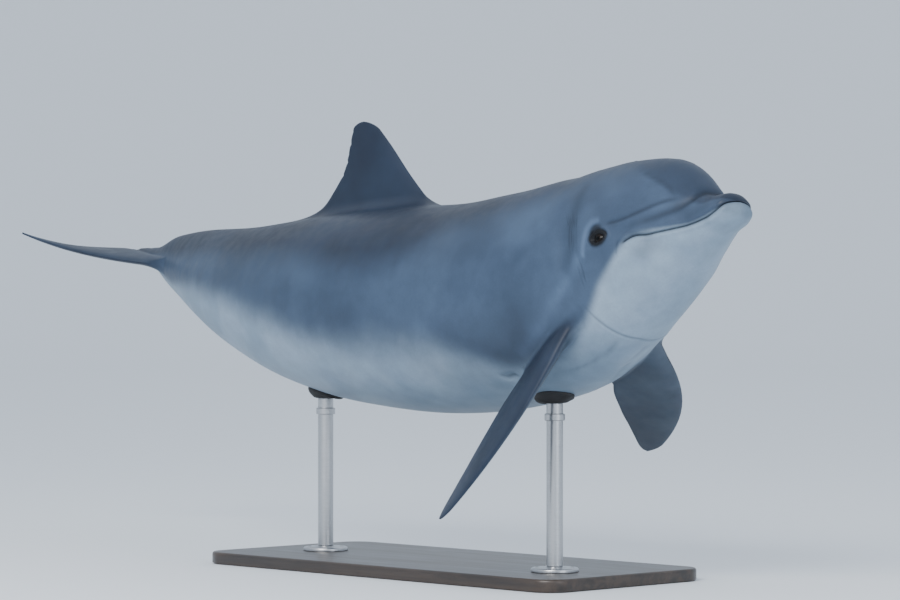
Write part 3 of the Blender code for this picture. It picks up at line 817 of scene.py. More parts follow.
def foil_loop(rows, columns, first_side):
    """Chord share and signed half thickness for each point of a block's rim.

    The front row wraps the round nose, where the share is NOSE_SHARE across
    squared. The sides run back along both faces, and the rear row wraps the
    trailing edge in the same way.
    """
    tall, wide = rows[1] - rows[0], columns[1] - columns[0]
    across, back = 1 - 2 * np.arange(wide) / wide, np.arange(tall) / tall
    down, up = (NOSE_SHARE + (1 - NOSE_SHARE - EDGE_SHARE) * share for share in (back, 1 - back))
    nose, tail = NOSE_SHARE * across ** 2, 1 - EDGE_SHARE * across ** 2
    half = np.concatenate([np.sign(across) * foil_half(nose), -foil_half(down),
                           -across * foil_half(np.float64(1 - EDGE_SHARE)), foil_half(up)])
    return np.concatenate([nose, down, tail, up]), first_side * half


ROOT_MARGIN, ROOT_SIDE, ROOT_RISE = 0.075, 0.3, 0.055    # fillet round a flipper's root
ROOT_AHEAD, RISE_AHEAD = 0.12, 0.05                      # what its leading edge has on top
ROOT_LEAD, ROOT_BLUNT = 0.35, 0.15      # the leading edge ends at this share of the chord, and
                                        # the fillet is full at the side from this half thickness
ROOT_RINGS = 7
ARRIVAL = 0.02                          # the step over u that shows which way a fin runs
PALE_BELOW = (-0.25, 0.25, 0.6)         # a fin turns pale between these shares of a half thickness
SKIN_TONES = ("pale", "cape", "shade", "dark")          # marks that fade out up a fin


def footprint(at, along, half):
    """Where a fin comes out of the body: u, s and angle.

    It is found by halving: u goes up while the place is inside the skin.
    """
    low, high = np.full(along.shape, -0.5), np.full(along.shape, 0.6)
    for _ in range(HALVINGS):
        middle = (low + high) / 2
        s, y, z = unplace(at(middle, along, half), np.full(along.shape, FLIPPER_ROOT[0]))
        out, around = share_out(s, y, z)
        low, high = np.where(out < 1, middle, low), np.where(out < 1, high, middle)
    return high, s, around


def root_rings(skin, grid, rows, columns, at, along, half):
    """Rings on the body's surface from a block's rim to just round a flipper's root.

    The inner ring is the footprint of a slightly longer and thicker fin.
    """
    s0, around0 = (patch_loop(grid[k], rows, columns) for k in ("s", "around"))
    lead = ease(ROOT_LEAD, 0.0, along)
    wide = 0.5 + (along - 0.5) * (1 + 2 * ROOT_MARGIN) - ROOT_AHEAD * lead
    thick = half + np.sign(half) * ROOT_SIDE * np.clip(np.abs(half) / ROOT_BLUNT, 0, 1)
    u, s1, around1 = footprint(at, wide, thick)
    w = np.arange(1, ROOT_RINGS + 1)[:, None] / ROOT_RINGS
    s, around = s0 + (s1 - s0) * w, around0 + (around1 - around0) * w
    points, normals = surface(s, around)
    height, dark = relief(s, around)
    points = points + normals * height[..., None]
    marks = body_marks(s, around, dark)
    numbers = skin.add(points, **marks)
    last = {name: values[-1] for name, values in marks.items()}
    return numbers, points[-1], normals[-1], last, u + ROOT_RISE + RISE_AHEAD * lead


def grow_fin(skin, grid, rows, columns, at, first_side, leave, area, flow, rings=(11, 24)):
    """Grow a fin out of a block of the body's grid, and close its tip.

    The first rings are cubic curves that leave the body along its surface and
    arrive along the fin's span; the others are the fin's own sections. leave
    gives u where the fin takes over, at the leading and the trailing edge;
    without it the rings start close round the fin's own footprint. flow gives
    both ends' pull on the curves, and how pale the fin is below. The sections
    lie at 0.35 x + 0.65 x squared of the way to the tip, x being a sine.
    """
    loop = patch_loop(grid["number"], rows, columns)[None]
    along, half = foil_loop(rows, columns, first_side)
    if leave:
        start, normal = (patch_loop(grid[name], rows, columns) for name in ("point", "normal"))
        marks = {name: patch_loop(grid[name], rows, columns) for name in SKIN_TONES}
        taken = leave[0] + (leave[1] - leave[0]) * along
    else:
        flat, start, normal, marks, taken = root_rings(skin, grid, rows, columns, at, along, half)
        loop = np.concatenate([loop, flat])
    end = at(taken, along, half)
    reach = np.linalg.norm(end - start, axis=1, keepdims=True)
    leaving = end - start
    leaving -= normal * (leaving * normal).sum(1, keepdims=True)
    leaving = unit(leaving) * reach * flow[0]
    arriving = unit(end - at(taken - ARRIVAL, along, half)) * reach * flow[1]
    t = (np.arange(1, rings[0] + 1) / rings[0])[:, None, None]
    skirt = ((1 + 2 * t) * (1 - t) ** 2 * start + t * (1 - t) ** 2 * leaving
             + t * t * (3 - 2 * t) * end - t * t * (1 - t) * arriving)
    x = np.sin(math.pi / 2 * np.arange(1, rings[1] + 1) / rings[1])[:, None]
    u = taken + (1 - taken) * (0.35 * x + 0.65 * x ** 2)
    blade = at(u, along + 0 * u, half + 0 * u)
    points = np.concatenate([skirt, blade])
    share = np.concatenate([ease(0, 1, t[:, :, 0]) + 0 * along, np.ones(u.shape)])
    tone = {name: marks[name] * (1 - share) for name in SKIN_TONES}
    low, high, thick = PALE_BELOW
    tone["pale"] += ease(low, high, half * np.sign(flow[2]) / thick) * abs(flow[2]) * share
    tone["cape"] += share
    numbers = skin.add(points, **tone)
    skin.spread(closed(np.concatenate([loop, numbers])), area)
    close_block(skin, numbers[-1], points[-1], rows, columns, area, {k: v[-1] for k, v in tone.items()})


def close_block(skin, ring, points, rows, columns, area, marks):
    """Fill a last ring with the block's own grid, straight across between its sides."""
    tall, wide = rows[1] - rows[0], columns[1] - columns[0]
    where = np.zeros((tall + 1, wide + 1), int)
    where[0, :-1] = np.arange(wide)
    where[:-1, -1] = wide + np.arange(tall)
    where[-1, :0:-1] = wide + tall + np.arange(wide)
    where[:0:-1, 0] = 2 * wide + tall + np.arange(tall)
    number = ring[where]
    t = np.linspace(0, 1, wide + 1)[None, 1:-1, None]
    first, last = points[where[1:-1, 0]][:, None], points[where[1:-1, -1]][:, None]
    inner = {k: np.repeat(v[where[1:-1, 0]][:, None], wide - 1, 1) for k, v in marks.items()}
    number[1:-1, 1:-1] = skin.add(first * (1 - t) + last * t, **inner)
    skin.spread(number, beside(area, 0.016))


# ---- eyes and blowhole ---------------------------------------------------
def eye_frame(side):
    """Centre of an eyeball with its outward, forward and upward directions.

    Outward is the side direction, turned a tenth ahead and a little down, and
    the others are squared to it.
    """
    outward = 1 if side == "left" else -1
    s, y, z = EYE_PLACE
    _, ahead, left, up = along_spine(s)
    out = unit(outward * left + 0.1 * ahead - 0.02 * up)
    lift = unit(up - out * (up @ out))
    front = unit(ahead - out * (ahead @ out) - lift * (ahead @ lift))
    return place(s, outward * y, z), out, front, lift


def lid_opening(turn):
    """The rim between the lids: half length cos(turn), height |sin(turn)| to the 1.25."""
    tall = np.where(np.sin(turn) > 0, EYE_UPPER, EYE_LOWER)
    rise = tall * np.sign(np.sin(turn)) * np.abs(np.sin(turn)) ** 1.25
    return EYE_PLACE[0] - EYE_HALF * np.cos(turn), EYE_PLACE[2] + rise


def drawn_in(start, end, count, power):
    """Steps from one loop to another, wide at first: 1 minus (1 - t) to the power."""
    t = np.arange(1, count + 1)[:, None] / count
    return start + (end - start) * (1 - (1 - t) ** power)


def sink(skin, loop, rings, marks, hollow, inside, floor, area):
    """Close a block of the grid: rings down to an opening, its hollow and its floor."""
    numbers = skin.add(rings, **marks)
    hollow = skin.add(hollow, **inside)
    skin.spread(closed(np.concatenate([loop[None], numbers, hollow])), area)
    skin.fan(hollow[-1], skin.add(floor[None], **inside)[0], beside(area, 0.014), True)


# Forms round the lids, as (height, distance from their rim, half width)
LID_RIDGE, POUCH = (0.0013, 0.0034, 0.003), (0.0009, 0.011, 0.005)
CREASE, BROW = (-0.0017, 0.008, 0.0016), (0.0016, 0.013, 0.0042)       # over the upper lid
REAR_FOLD = (-0.0008, 0.015, 0.0016)
LID_RINGS, LID_PULL = 18, 1.9          # rings from the block's rim in, and how they crowd
LID_DIP = 0.0032                       # from here in, the lids dip to the ball
SOCKET_RINGS, SOCKET_END = 8, math.radians(168)
# LID_DARK: the lids' dark skin, deepened by painted shade towards the opening; CREASE_DARK: how dark the
# painted shade in the crease over the upper lid is
LID_DARK, CREASE_DARK = (0.012, 0.003), 0.85    # the lids' dark skin ends and is full at these
BALL_GAP, SOCKET_GAP = 0.0004, 0.0012  # the lids' rim and the socket clear the ball


def grow_lids(skin, grid, side, rows, columns, area):
    """Draw a block of the body's grid together round an eye, into its socket.

    Rings run in from the block's rim to the lids' almond rim in the side view,
    on the body's surface plus the lids' own form; then they dip to the ball
    and go round behind it as a bowl. upper and rear ease in the forms that
    only the upper lid and the rear corner have.
    """
    loop = patch_loop(grid["number"], rows, columns)
    s0, around0 = (patch_loop(grid[k], rows, columns) for k in ("s", "around"))
    z0 = body_point(s0, around0)[1]
    turn = np.arctan2(z0 - EYE_PLACE[2], EYE_PLACE[0] - s0)
    s1, z1 = lid_opening(turn)
    s, z = (drawn_in(*ends, LID_RINGS, LID_PULL) for ends in ((s0, s1), (z0, z1)))
    around = around_at_height(s, z)
    around = around if side == "left" else 2 * math.pi - around
    point, normal = surface(s, around)
    height, dark = relief(s, around)
    away = np.hypot(s - s1, z - z1)
    upper = ease(-0.4, 0.5, np.sin(turn))
    rear = ease(-0.2, 0.9, -np.cos(turn))
    height = height + (swell(away, LID_RIDGE) + swell(away, POUCH) * (1 - upper)
                       + (swell(away, CREASE) + swell(away, BROW)) * upper + swell(away, REAR_FOLD) * rear)
    lifted = point + normal * height[..., None]
    centre, out, _, _ = eye_frame(side)
    contact = centre + unit(lifted - centre) * (EYE_RADIUS + BALL_GAP)
    dip = np.clip(1 - away / LID_DIP, 0, 1)[..., None] ** 2
    points = lifted * (1 - dip) + contact * dip
    rim = unit(points[-1] - centre)
    side_way = unit(rim - out * (rim @ out)[:, None])
    first = np.arccos(np.clip(rim @ out, -1, 1))
    bowl = first + (SOCKET_END - first) * (np.arange(1, SOCKET_RINGS + 1)[:, None] / SOCKET_RINGS)
    spread = EYE_RADIUS + SOCKET_GAP
    socket = centre + spread * (np.cos(bowl)[..., None] * out + np.sin(bowl)[..., None] * side_way)
    marks = body_marks(s, around, dark)
    # painted shade in the crease over the upper lid
    marks["dark"] = np.maximum(marks["dark"], CREASE_DARK * hump(away - CREASE[1], CREASE[2]) * upper)
    marks["lid"] = ease(*LID_DARK, away - LID_DARK[1] * upper)
    # the socket behind the ball is painted fully dark as shade
    sink(skin, loop, points, marks, socket, {"lid": 1.0, "dark": 1.0}, centre - out * spread, area)


# Forms round the blowhole, as (height, distance from its rim, half width), how
# far its horns point ahead, its half gap, the reach of the painted shade round
# its rim, its rings and how they crowd, and its throat as (depth, size)
BLOW_LIP, BLOW_RING, BLOW_RIM = (0.0008, 0.0045, 0.0034), (-0.0012, 0.012, 0.003), (-0.0016, 0.0, 0.0012)
BLOW_BOW, BLOW_CRACK, BLOW_DARK = 0.0085, 0.0011, 0.0024
BLOW_RINGS, BLOW_PULL = 14, 1.8
THROAT = ((0.0015, 1.0), (0.004, 0.98), (0.007, 0.92), (0.01, 0.8))


def grow_blowhole(skin, grid, rows, columns, area):
    """Draw a block on top of the head together into the crescent blowhole.

    The slit's rim is y = half cos(turn) and s = place - bow cos(turn) squared
    plus a hair's breadth times sin(turn), so its horns point ahead.
    """
    loop = patch_loop(grid["number"], rows, columns)
    s0, around0 = (patch_loop(grid[k], rows, columns) for k in ("s", "around"))
    y0 = body_point(s0, around0)[0]
    turn = np.arctan2(s0 - BLOWHOLE_S, y0)
    y1 = BLOWHOLE_HALF * np.cos(turn)
    s1 = BLOWHOLE_S - BLOW_BOW * np.cos(turn) ** 2 + BLOW_CRACK * np.sin(turn)
    s, y = (drawn_in(*ends, BLOW_RINGS, BLOW_PULL) for ends in ((s0, s1), (y0, y1)))
    around = around_at_side(s, y)
    point, normal = surface(s, around)
    height, dark = relief(s, around)
    away = np.hypot(s - s1, y - y1)
    front = ease(0.3, -0.3, np.sin(turn))
    lip = swell(away, BLOW_LIP) * (0.7 + 0.6 * front) + swell(away, BLOW_RING) + swell(away, BLOW_RIM)
    points = point + normal * (height + lip)[..., None]
    down = -normal[-1].mean(0)
    depth, narrow = (np.array(column)[:, None, None] for column in zip(*THROAT))
    middle = points[-1].mean(0)
    throat = middle + (points[-1] - middle) * narrow + down * depth
    # painted shade round the slit, and the throat painted fully dark as shade
    marks = body_marks(s, around, np.maximum(dark, hump(away, BLOW_DARK)))
    floor = throat[-1].mean(0) + 0.001 * down
    sink(skin, loop, points, marks, throat, {"dark": 1.0, "cape": 1.0}, floor, area)


# ---- the whole skin ------------------------------------------------------
def block(front, rear, first, last, side="left"):
    """Rows and columns of a block of the grid; on the right its columns are mirrored."""
    rows = tuple(int(np.argmin(np.abs(ROWS[1:-1] - s))) for s in (front, rear))
    return rows, (first, last) if side == "left" else (AROUND - last, AROUND - first)


# The column of the mouth line, and the blocks that forms grow out of: their
# ends over s, and their columns counted round the left side from the back
MOUTH = UPPER_COLUMNS
EYE_BLOCK, FLUKE_BLOCK = (0.294, 0.379, MOUTH - 29, MOUTH - 7), (2.3, 2.586, MOUTH - 14, MOUTH + 14)
BLOCKS = {
    "dorsal": block(1.125, 1.672, -6, 6),
    "blowhole": block(0.318, 0.386, -3, 3),
    "eye_left": block(*EYE_BLOCK), "eye_right": block(*EYE_BLOCK, "right"),
    "flipper_left": block(0.396, 0.725, MOUTH + 18, MOUTH + 34),
    "flipper_right": block(0.412, 0.7, MOUTH + 17, MOUTH + 31, "right"),
    "fluke_left": block(*FLUKE_BLOCK), "fluke_right": block(*FLUKE_BLOCK, "right"),
}
# Each fin: its surface, the side of its first face, where it takes over from
# the skirt, its area of the map, the flow of its skirt, and its counts of rings
FINS = {
    "dorsal": (dorsal_surface, -1, (0.36, 0.24), (0.01, 0.6, 0.41, 0.72), (1.0, 1.0, 0.0), (12, 44)),
    "flipper_left": (flipper_surface("left"), 1, None, (0.45, 0.6, 0.64, 0.79), (1.1, 1.0, -0.3)),
    "flipper_right": (flipper_surface("right"), 1, None, (0.67, 0.6, 0.86, 0.79), (1.1, 1.0, 0.3)),
    "fluke_left": (fluke_surface("left"), 1, (0.22, 0.1), (0.01, 0.74, 0.25, 0.86), (0.8, 0.9, -0.2)),
    "fluke_right": (fluke_surface("right"), -1, (0.22, 0.1), (0.01, 0.87, 0.25, 0.99), (0.8, 0.9, 0.2)),
}


def make_skin(finish):
    """One closed skin: body grid, fins grown from it, lids, blowhole and both ends."""
    skin = Piece()
    points, normals, s, around, dark = skin_rows()
    marks = body_marks(s, around, dark)
    grid = {"number": skin.add(points, **marks), "point": points, "normal": normals,
            "s": s, "around": around, **marks}
    cut = np.zeros((len(s) - 1, AROUND), bool)
    for (a, b), (c, d) in BLOCKS.values():
        cut[a:b, np.arange(c, d) % AROUND] = True
    skin.spread(closed(grid["number"]), (0.01, 0.01, 0.985, 0.57), cut)
    # the beak's tip lies in the mouth's groove and gets its full painted shade
    tip = skin.add(points[0, [MOUTH, AROUND - MOUTH]].mean(0)[None], dark=1.0)[0]
    skin.fan(grid["number"][0], tip, (0.9, 0.6, 0.93, 0.63), True)
    end = skin.add(points[-1].mean(0)[None], cape=1.0)[0]
    skin.fan(grid["number"][-1], end, (0.94, 0.6, 0.97, 0.63))
    for name, fin in FINS.items():
        grow_fin(skin, grid, *BLOCKS[name], *fin)
    grow_lids(skin, grid, "left", *BLOCKS["eye_left"], (0.28, 0.82, 0.56, 0.9))
    grow_lids(skin, grid, "right", *BLOCKS["eye_right"], (0.28, 0.91, 0.56, 0.99))
    grow_blowhole(skin, grid, *BLOCKS["blowhole"], (0.6, 0.82, 0.84, 0.9))
    return skin.build("dolphin_skin", finish)


CORNEA_RISE, CORNEA_REACH = 0.0007, math.radians(38)
# the ball's rings, in degrees from its axis: closer together over the cornea
BALL_RINGS = np.concatenate([np.linspace(2, 40, 20), np.linspace(45, 176, 18)])


def make_eyeball(side, finish):
    """An eyeball of rings about its axis, with a slightly raised cornea.

    The cornea rises by (1 - (angle / its reach) squared) squared.
    """
    ball = Piece()
    centre, out, front, lift = eye_frame(side)
    polar = np.radians(BALL_RINGS)[:, None]
    turn = np.linspace(0, 2 * math.pi, 48, endpoint=False)
    radius = EYE_RADIUS + CORNEA_RISE * np.clip(1 - (polar / CORNEA_REACH) ** 2, 0, 1) ** 2
    tilt = (np.cos(turn)[:, None] * front + np.sin(turn)[:, None] * lift) * (1 if side == "right" else -1)
    points = centre + (radius * np.cos(polar))[..., None] * out + (radius * np.sin(polar))[..., None] * tilt
    rings = ball.add(points, along=np.degrees(polar) + 0 * turn, round=turn + 0 * polar)
    ball.spread(closed(rings), (0.02, 0.02, 0.98, 0.8))
    near = ball.add((centre + out * radius[0])[None])[0]
    far = ball.add((centre - out * EYE_RADIUS)[None], along=180.0)[0]
    ball.fan(rings[0], near, (0.02, 0.84, 0.12, 0.94), True)
    ball.fan(rings[-1], far, (0.16, 0.84, 0.26, 0.94))
    return ball.build("eyeball_" + side, finish)


# ---- the stand -----------------------------------------------------------
SHARP = 35.0                        # edges of the stand bent by more than this stay sharp


def turned(piece, profile, centre, sides, area):
    """A round piece: (radius, height) pairs turned about an upright axis, closed at both ends.

    x and y are the radius times the cosine and the sine of the turn.
    """
    radius, height = np.array(profile, float).T[:, :, None]
    turn = np.linspace(0, 2 * math.pi, sides, endpoint=False)
    rings = piece.add(np.stack([centre[0] + radius * np.cos(turn), centre[1] + radius * np.sin(turn),
                                height + 0 * turn], -1))
    piece.spread(closed(rings), area)
    low, high = (piece.add(np.array([[*centre[:2], height[k, 0]]]))[0] for k in (0, -1))
    piece.fan(rings[0], low, (area[2] + 0.01, area[1], area[2] + 0.05, area[1] + 0.04), True)
    piece.fan(rings[-1], high, (area[2] + 0.06, area[1], area[2] + 0.1, area[1] + 0.04))


def rounded(start, end):
    """Quarter-round corner of a profile between two (radius, height) places.

    It goes 1 - cos(a) of the way in radius and sin(a) of the way in height.
    """
    turn = np.linspace(0, math.pi / 2, 5)
    (r0, h0), (r1, h1) = start, end
    return [(r0 + (r1 - r0) * (1 - math.cos(a)), h0 + (h1 - h0) * math.sin(a)) for a in turn]


# Edges of the board, as (drawn in, height): a shadow gap, the upright side and
# an eased edge; then the top, drawn in further and further
EASE_IN, EASE_UP, EASE_FROM = 0.005, 0.0075, 0.0225
CORNER_LEAST = 0.004                # the corners' radius never gets smaller than this
BOARD_EDGE = ([(0.004, 0.0), (0.004, 0.0025), (0.0005, 0.003), (0.0, 0.004), (0.0, 0.0215)]
              + [(EASE_IN * (1 - math.cos(a)), EASE_FROM + EASE_UP * math.sin(a))
                 for a in np.linspace(0, 1.45, 7)]
              + [(inset, BASE_THICK) for inset in (0.0075, 0.012, 0.05, 0.1)])


def make_board(finish):
    """The base: a slab with round corners, a shadow gap below and an eased top edge.

    Each ring is the slab's rounded outline, drawn in by the profile's inset.
    """
    board = Piece()
    inset, height = np.array(BOARD_EDGE).T[:, :, None]
    radius = np.maximum(BASE_CORNER - inset, CORNER_LEAST)
    turn = (np.linspace(0, math.pi / 2, 13) + np.arange(4)[:, None] * math.pi / 2).ravel()
    along, across = np.repeat([[1, -1, -1, 1], [1, 1, -1, -1]], 13, axis=1)
    rings = board.add(np.stack([along * (BASE_LENGTH / 2 - inset - radius) + radius * np.cos(turn),
                                across * (BASE_WIDTH / 2 - inset - radius) + radius * np.sin(turn),
                                height + 0 * turn], -1))
    board.spread(closed(rings), (0.01, 0.01, 0.3, 0.99))
    low, high = (board.add(np.array([[0, 0, level]]))[0] for level in (0.0, BASE_THICK))
    board.fan(rings[0], low, (0.33, 0.02, 0.63, 0.48), True)
    board.fan(rings[-1], high, (0.33, 0.52, 0.97, 0.98))
    return board.build("stand_board", finish, SHARP)


# The round pieces' profiles: a screw's head with the well in its middle, as
# (radius, height), and the rod's lower end and its upper end with a collar, as
# (out from the rod's face, height over the flange or over the rod's top)
SCREW_HEAD = ((0.0045, 0.0), (0.0045, 0.0022), (0.004, 0.0028), (0.0026, 0.0028), (0.0024, 0.0026),
              (0.0024, 0.0008))
SCREWS, SCREW_RING, SCREW_SEAT = 4, 0.04, 0.0085
ROD_FOOT = ((-0.001, GAP), (0.0, GAP + 0.001), (0.0, 0.05))
ROD_HEAD = ((0.0, -0.052), (0.0, -0.0405), (0.0035, -0.04), (0.0045, -0.039), (0.0045, -0.0255),
            (0.0035, -0.0245), (0.0, -0.024), (0.0, -GAP - 0.001), (-0.001, -GAP))
FLANGE_TOP = BASE_THICK + GAP + FLANGE_HEIGHT


def make_foot(name, centre, finish):
    """A flange: a disc with an eased edge that rises to the rod, and its screws."""
    foot = Piece()
    low = BASE_THICK + GAP
    profile = [(FLANGE_RADIUS - 0.001, low), (FLANGE_RADIUS, low + 0.001)]
    profile += rounded((FLANGE_RADIUS, low + 0.005), (FLANGE_RADIUS - 0.005, low + 0.0095))
    profile += [(0.03, low + 0.0105), (0.0265, FLANGE_TOP - 0.0002), (0.0205, FLANGE_TOP)]
    turned(foot, profile, centre, 96, (0.01, 0.01, 0.6, 0.6))
    for k in range(SCREWS):
        angle = math.pi / 4 + k * 2 * math.pi / SCREWS
        at = (centre[0] + SCREW_RING * math.cos(angle), centre[1] + SCREW_RING * math.sin(angle))
        head = [(radius, low + SCREW_SEAT + height) for radius, height in SCREW_HEAD]
        turned(foot, head, at, 18, (0.02 + 0.2 * k, 0.65, 0.08 + 0.2 * k, 0.8))
    return foot.build("stand_foot_" + name, finish, SHARP)


def make_rod(name, centre, top, finish):
    """A rod from the flange up to the pad, with a collar below the pad."""
    rod = Piece()
    profile = [(ROD_RADIUS + out, FLANGE_TOP + up) for out, up in ROD_FOOT]
    profile += [(ROD_RADIUS + out, top + up) for out, up in ROD_HEAD]
    turned(rod, profile, centre, 72, (0.01, 0.01, 0.85, 0.6))
    return rod.build("stand_post_" + name, finish, SHARP)


# The pad: rings of its seat as (share of its radius, height over the belly),
# of its rolled rim as (drop, share of the rim), and of the cone below as shares
# of the way down to the rod
PAD_SEAT = ((1.0, 0.001), (0.985, 0.0006), (0.96, GAP), (0.9, GAP), (0.78, GAP), (0.6, GAP), (0.4, GAP),
            (0.2, GAP))
PAD_ROLL = ((0.0075, 0.965), (0.0065, 0.985), (0.0045, 1.0))
PAD_CONE, PAD_NECK = (1.0, 0.93, 0.8, 0.45, 0.12), 0.024


def make_pad(name, s, belly, foot, finish):
    """The pad: a seat that follows the belly, a rolled rim and a cone down to the rod.

    The cone's radius shrinks with (1 - share of the way) to the 0.6.
    """
    pad = Piece()
    x, y, _ = belly
    turn = np.linspace(0, 2 * math.pi, 96, endpoint=False)
    share, lift = np.array(PAD_SEAT).T[:, :, None]
    width = float(body_point(s, np.float64(math.pi / 2))[0])
    on_belly, normal = surface(s - SADDLE_RADIUS * share * np.cos(turn),
                               math.pi - SADDLE_RADIUS * share * np.sin(turn) / width)
    seat = on_belly + normal * lift[..., None]
    roll = np.array([(seat[0] - (x, y, 0)) * (size, size, 1) + (x, y, -drop) for drop, size in PAD_ROLL])
    t = np.array(PAD_CONE)[:, None]
    ring = PAD_NECK + (SADDLE_RADIUS * PAD_ROLL[0][1] - PAD_NECK) * (1 - t) ** 0.6
    height = roll[0, :, 2] * (1 - t) + foot * t
    cone = np.stack([x + ring * np.cos(turn), y + ring * np.sin(turn), height], -1)
    rings = pad.add(np.concatenate([cone, roll, seat]))
    pad.spread(closed(rings), (0.01, 0.01, 0.6, 0.98))
    under = pad.add(np.array([[x, y, foot]]))[0]
    over = pad.add((belly + GAP * normal[-1].mean(0))[None])[0]
    pad.fan(rings[0], under, (0.65, 0.02, 0.95, 0.32), True)
    pad.fan(rings[-1], over, (0.65, 0.4, 0.95, 0.7))
    return pad.build("stand_pad_" + name, finish, 40.0)


def make_post(name, s, steel, rubber):
    """A post under the belly at s: its foot, its rod and its pad."""
    belly = place(s, *body_point(s, np.float64(math.pi)))
    top = belly[2] - SADDLE_DEPTH / 2
    return (make_foot(name, belly, steel), make_rod(name, belly, top, steel),
            make_pad(name, s, belly, top, rubber))


# ---- materials -----------------------------------------------------------
def srgb(r, g, b):
    """A colour given in 0..255 display values, as linear light."""
    v = np.array([r, g, b], float) / 255
    linear = np.where(v < 0.04045, v / 12.92, ((v + 0.055) / 1.055) ** 2.4)
    return (*linear.tolist(), 1.0)


SOCKETS = {"colour": "Base Color", "roughness": "Roughness", "metal": "Metallic", "normal": "Normal",
           "specular": "Specular IOR Level", "coat": "Coat Weight", "coat_roughness": "Coat Roughness"}


class Finish:
    """A node material being built: small helpers that add and join nodes."""

    def __init__(self, name):
        self.material = bpy.data.materials.new(name)
        self.material.use_nodes = True
        self.tree = self.material.node_tree

    def put(self, socket, value):
        """Join an output to a socket, or set a plain value on it."""
        if isinstance(value, bpy.types.NodeSocket):
            self.tree.links.new(value, socket)
        elif value is not None:
            socket.default_value = value

    def node(self, kind, sockets, out=0, **settings):
        """Add a node, fill its sockets by name or number, and give back an output."""
        made = self.tree.nodes.new("ShaderNode" + kind)
        for name, value in settings.items():
            setattr(made, name, value)
        for name, value in sockets.items():
            self.put(made.inputs[name], value)
        return made.outputs[out]

    def done(self, **values):
        """Fill the shader's own sockets, and give back the material."""
        shader = self.tree.nodes["Principled BSDF"]
        for name, value in values.items():
            self.put(shader.inputs[SOCKETS[name]], value)
        return self.material

    def mark(self, name):
        """Read one of the piece's marks."""
        return self.node("Attribute", {}, "Fac", attribute_name=name)

    def where(self, scale=(1, 1, 1)):
        """Object coordinates, stretched by scale."""
        return self.node("Mapping", {"Vector": self.node("TexCoord", {}, "Object"), "Scale": scale})

    def noise(self, scale, detail, rough, vector=None, distortion=0.0):
        """Soft noise from 0 to 1."""
        return self.node("TexNoise", {"Vector": vector or self.where(), "Scale": scale, "Detail": detail,
                                      "Roughness": rough, "Distortion": distortion})

    def math(self, operation, a, b=0.0, clamp=False):
        """One step of arithmetic."""
        return self.node("Math", {0: a, 1: b}, operation=operation, use_clamp=clamp)

    def times(self, a, b):
        """The product of two values."""
        return self.math("MULTIPLY", a, b)

    def span(self, value, low, high, to_low=0.0, to_high=1.0):
        """Carry low..high onto to_low..to_high, smoothly and no further."""
        return self.node("MapRange", {0: value, 1: low, 2: high, 3: to_low, 4: to_high},
                         interpolation_type="SMOOTHSTEP")

    def blend(self, share, a, b, mode="MIX"):
        """One colour into another by share."""
        return self.node("Mix", {0: share, 6: a, 7: b}, 2, data_type="RGBA", blend_type=mode)

    def grey(self, value):
        """The grey colour of a value."""
        return self.node("CombineColor", {0: value, 1: value, 2: value})

    def pair(self, a, b):
        """A vector of two values."""
        return self.node("CombineXYZ", {0: a, 1: b})

    def bump(self, height, strength, distance, under=None):
        """Fine relief in the shading, on top of another."""
        return self.node("Bump", {"Strength": strength, "Distance": distance, "Height": height,
                                  "Normal": under})


def skin_finish():
    """Satin skin: dark cape, mid side, pale belly, soft strokes, painted shade in the folds, groove,
    blowhole and round the eye, and mottling.
    """
    f = Finish("dolphin_skin")
    cloud = f.span(f.noise(5.0, 3, 0.55), 0.35, 0.65)
    patch, fine = f.noise(30.0, 4, 0.6), f.noise(210.0, 3, 0.65)
    wander = f.times(f.math("SUBTRACT", f.noise(7.0, 4, 0.6), 0.5), 0.34)
    pale = f.span(f.math("ADD", f.mark("pale"), wander), 0.06, 0.94)
    cape = f.math("ADD", f.mark("cape"), f.times(wander, 0.5), clamp=True)
    side = f.blend(cloud, srgb(53, 67, 87), srgb(63, 79, 101))
    back = f.blend(cloud, srgb(29, 38, 54), srgb(37, 48, 66))
    belly = f.blend(cloud, srgb(118, 137, 156), srgb(134, 152, 170))
    colour = f.blend(pale, f.blend(cape, side, back), belly)
    # the strokes lighten or darken the colour; the one behind the eye is painted shade
    tone = f.math("SUBTRACT", 1.0, f.times(f.mark("shade"), 0.42))
    mottle = f.times(f.span(patch, 0.25, 0.75, 0.93, 1.07), f.span(fine, 0.2, 0.8, 0.96, 1.04))
    colour = f.blend(1.0, colour, f.grey(f.times(tone, mottle)), "MULTIPLY")
    # dark: painted shade in the folds, the mouth's groove and the blowhole, with the dark eye patch
    colour = f.blend(f.times(f.mark("dark"), 0.88), colour, srgb(13, 18, 27))
    # lid: dark lid skin deepened by painted shade near the opening, and painted shade in the socket behind
    # the ball
    colour = f.blend(f.times(f.mark("lid"), 0.92), colour, srgb(7, 8, 12))
    rough = f.math("ADD", f.span(patch, 0.2, 0.8, 0.42, 0.54), f.times(f.mark("dark"), 0.15))
    ripples = f.noise(1.0, 3, 0.55, f.pair(f.times(f.mark("along"), 240.0), f.times(f.mark("round"), 9.0)))
    normal = f.bump(f.noise(14.0, 3, 0.5), 0.1, 0.004)
    normal = f.bump(ripples, 0.12, 0.0008, normal)
    normal = f.bump(f.noise(420.0, 3, 0.6), 0.14, 0.0004, normal)
    return f.done(colour=colour, roughness=rough, normal=normal, specular=0.22, coat=0.05,
                  coat_roughness=0.25)


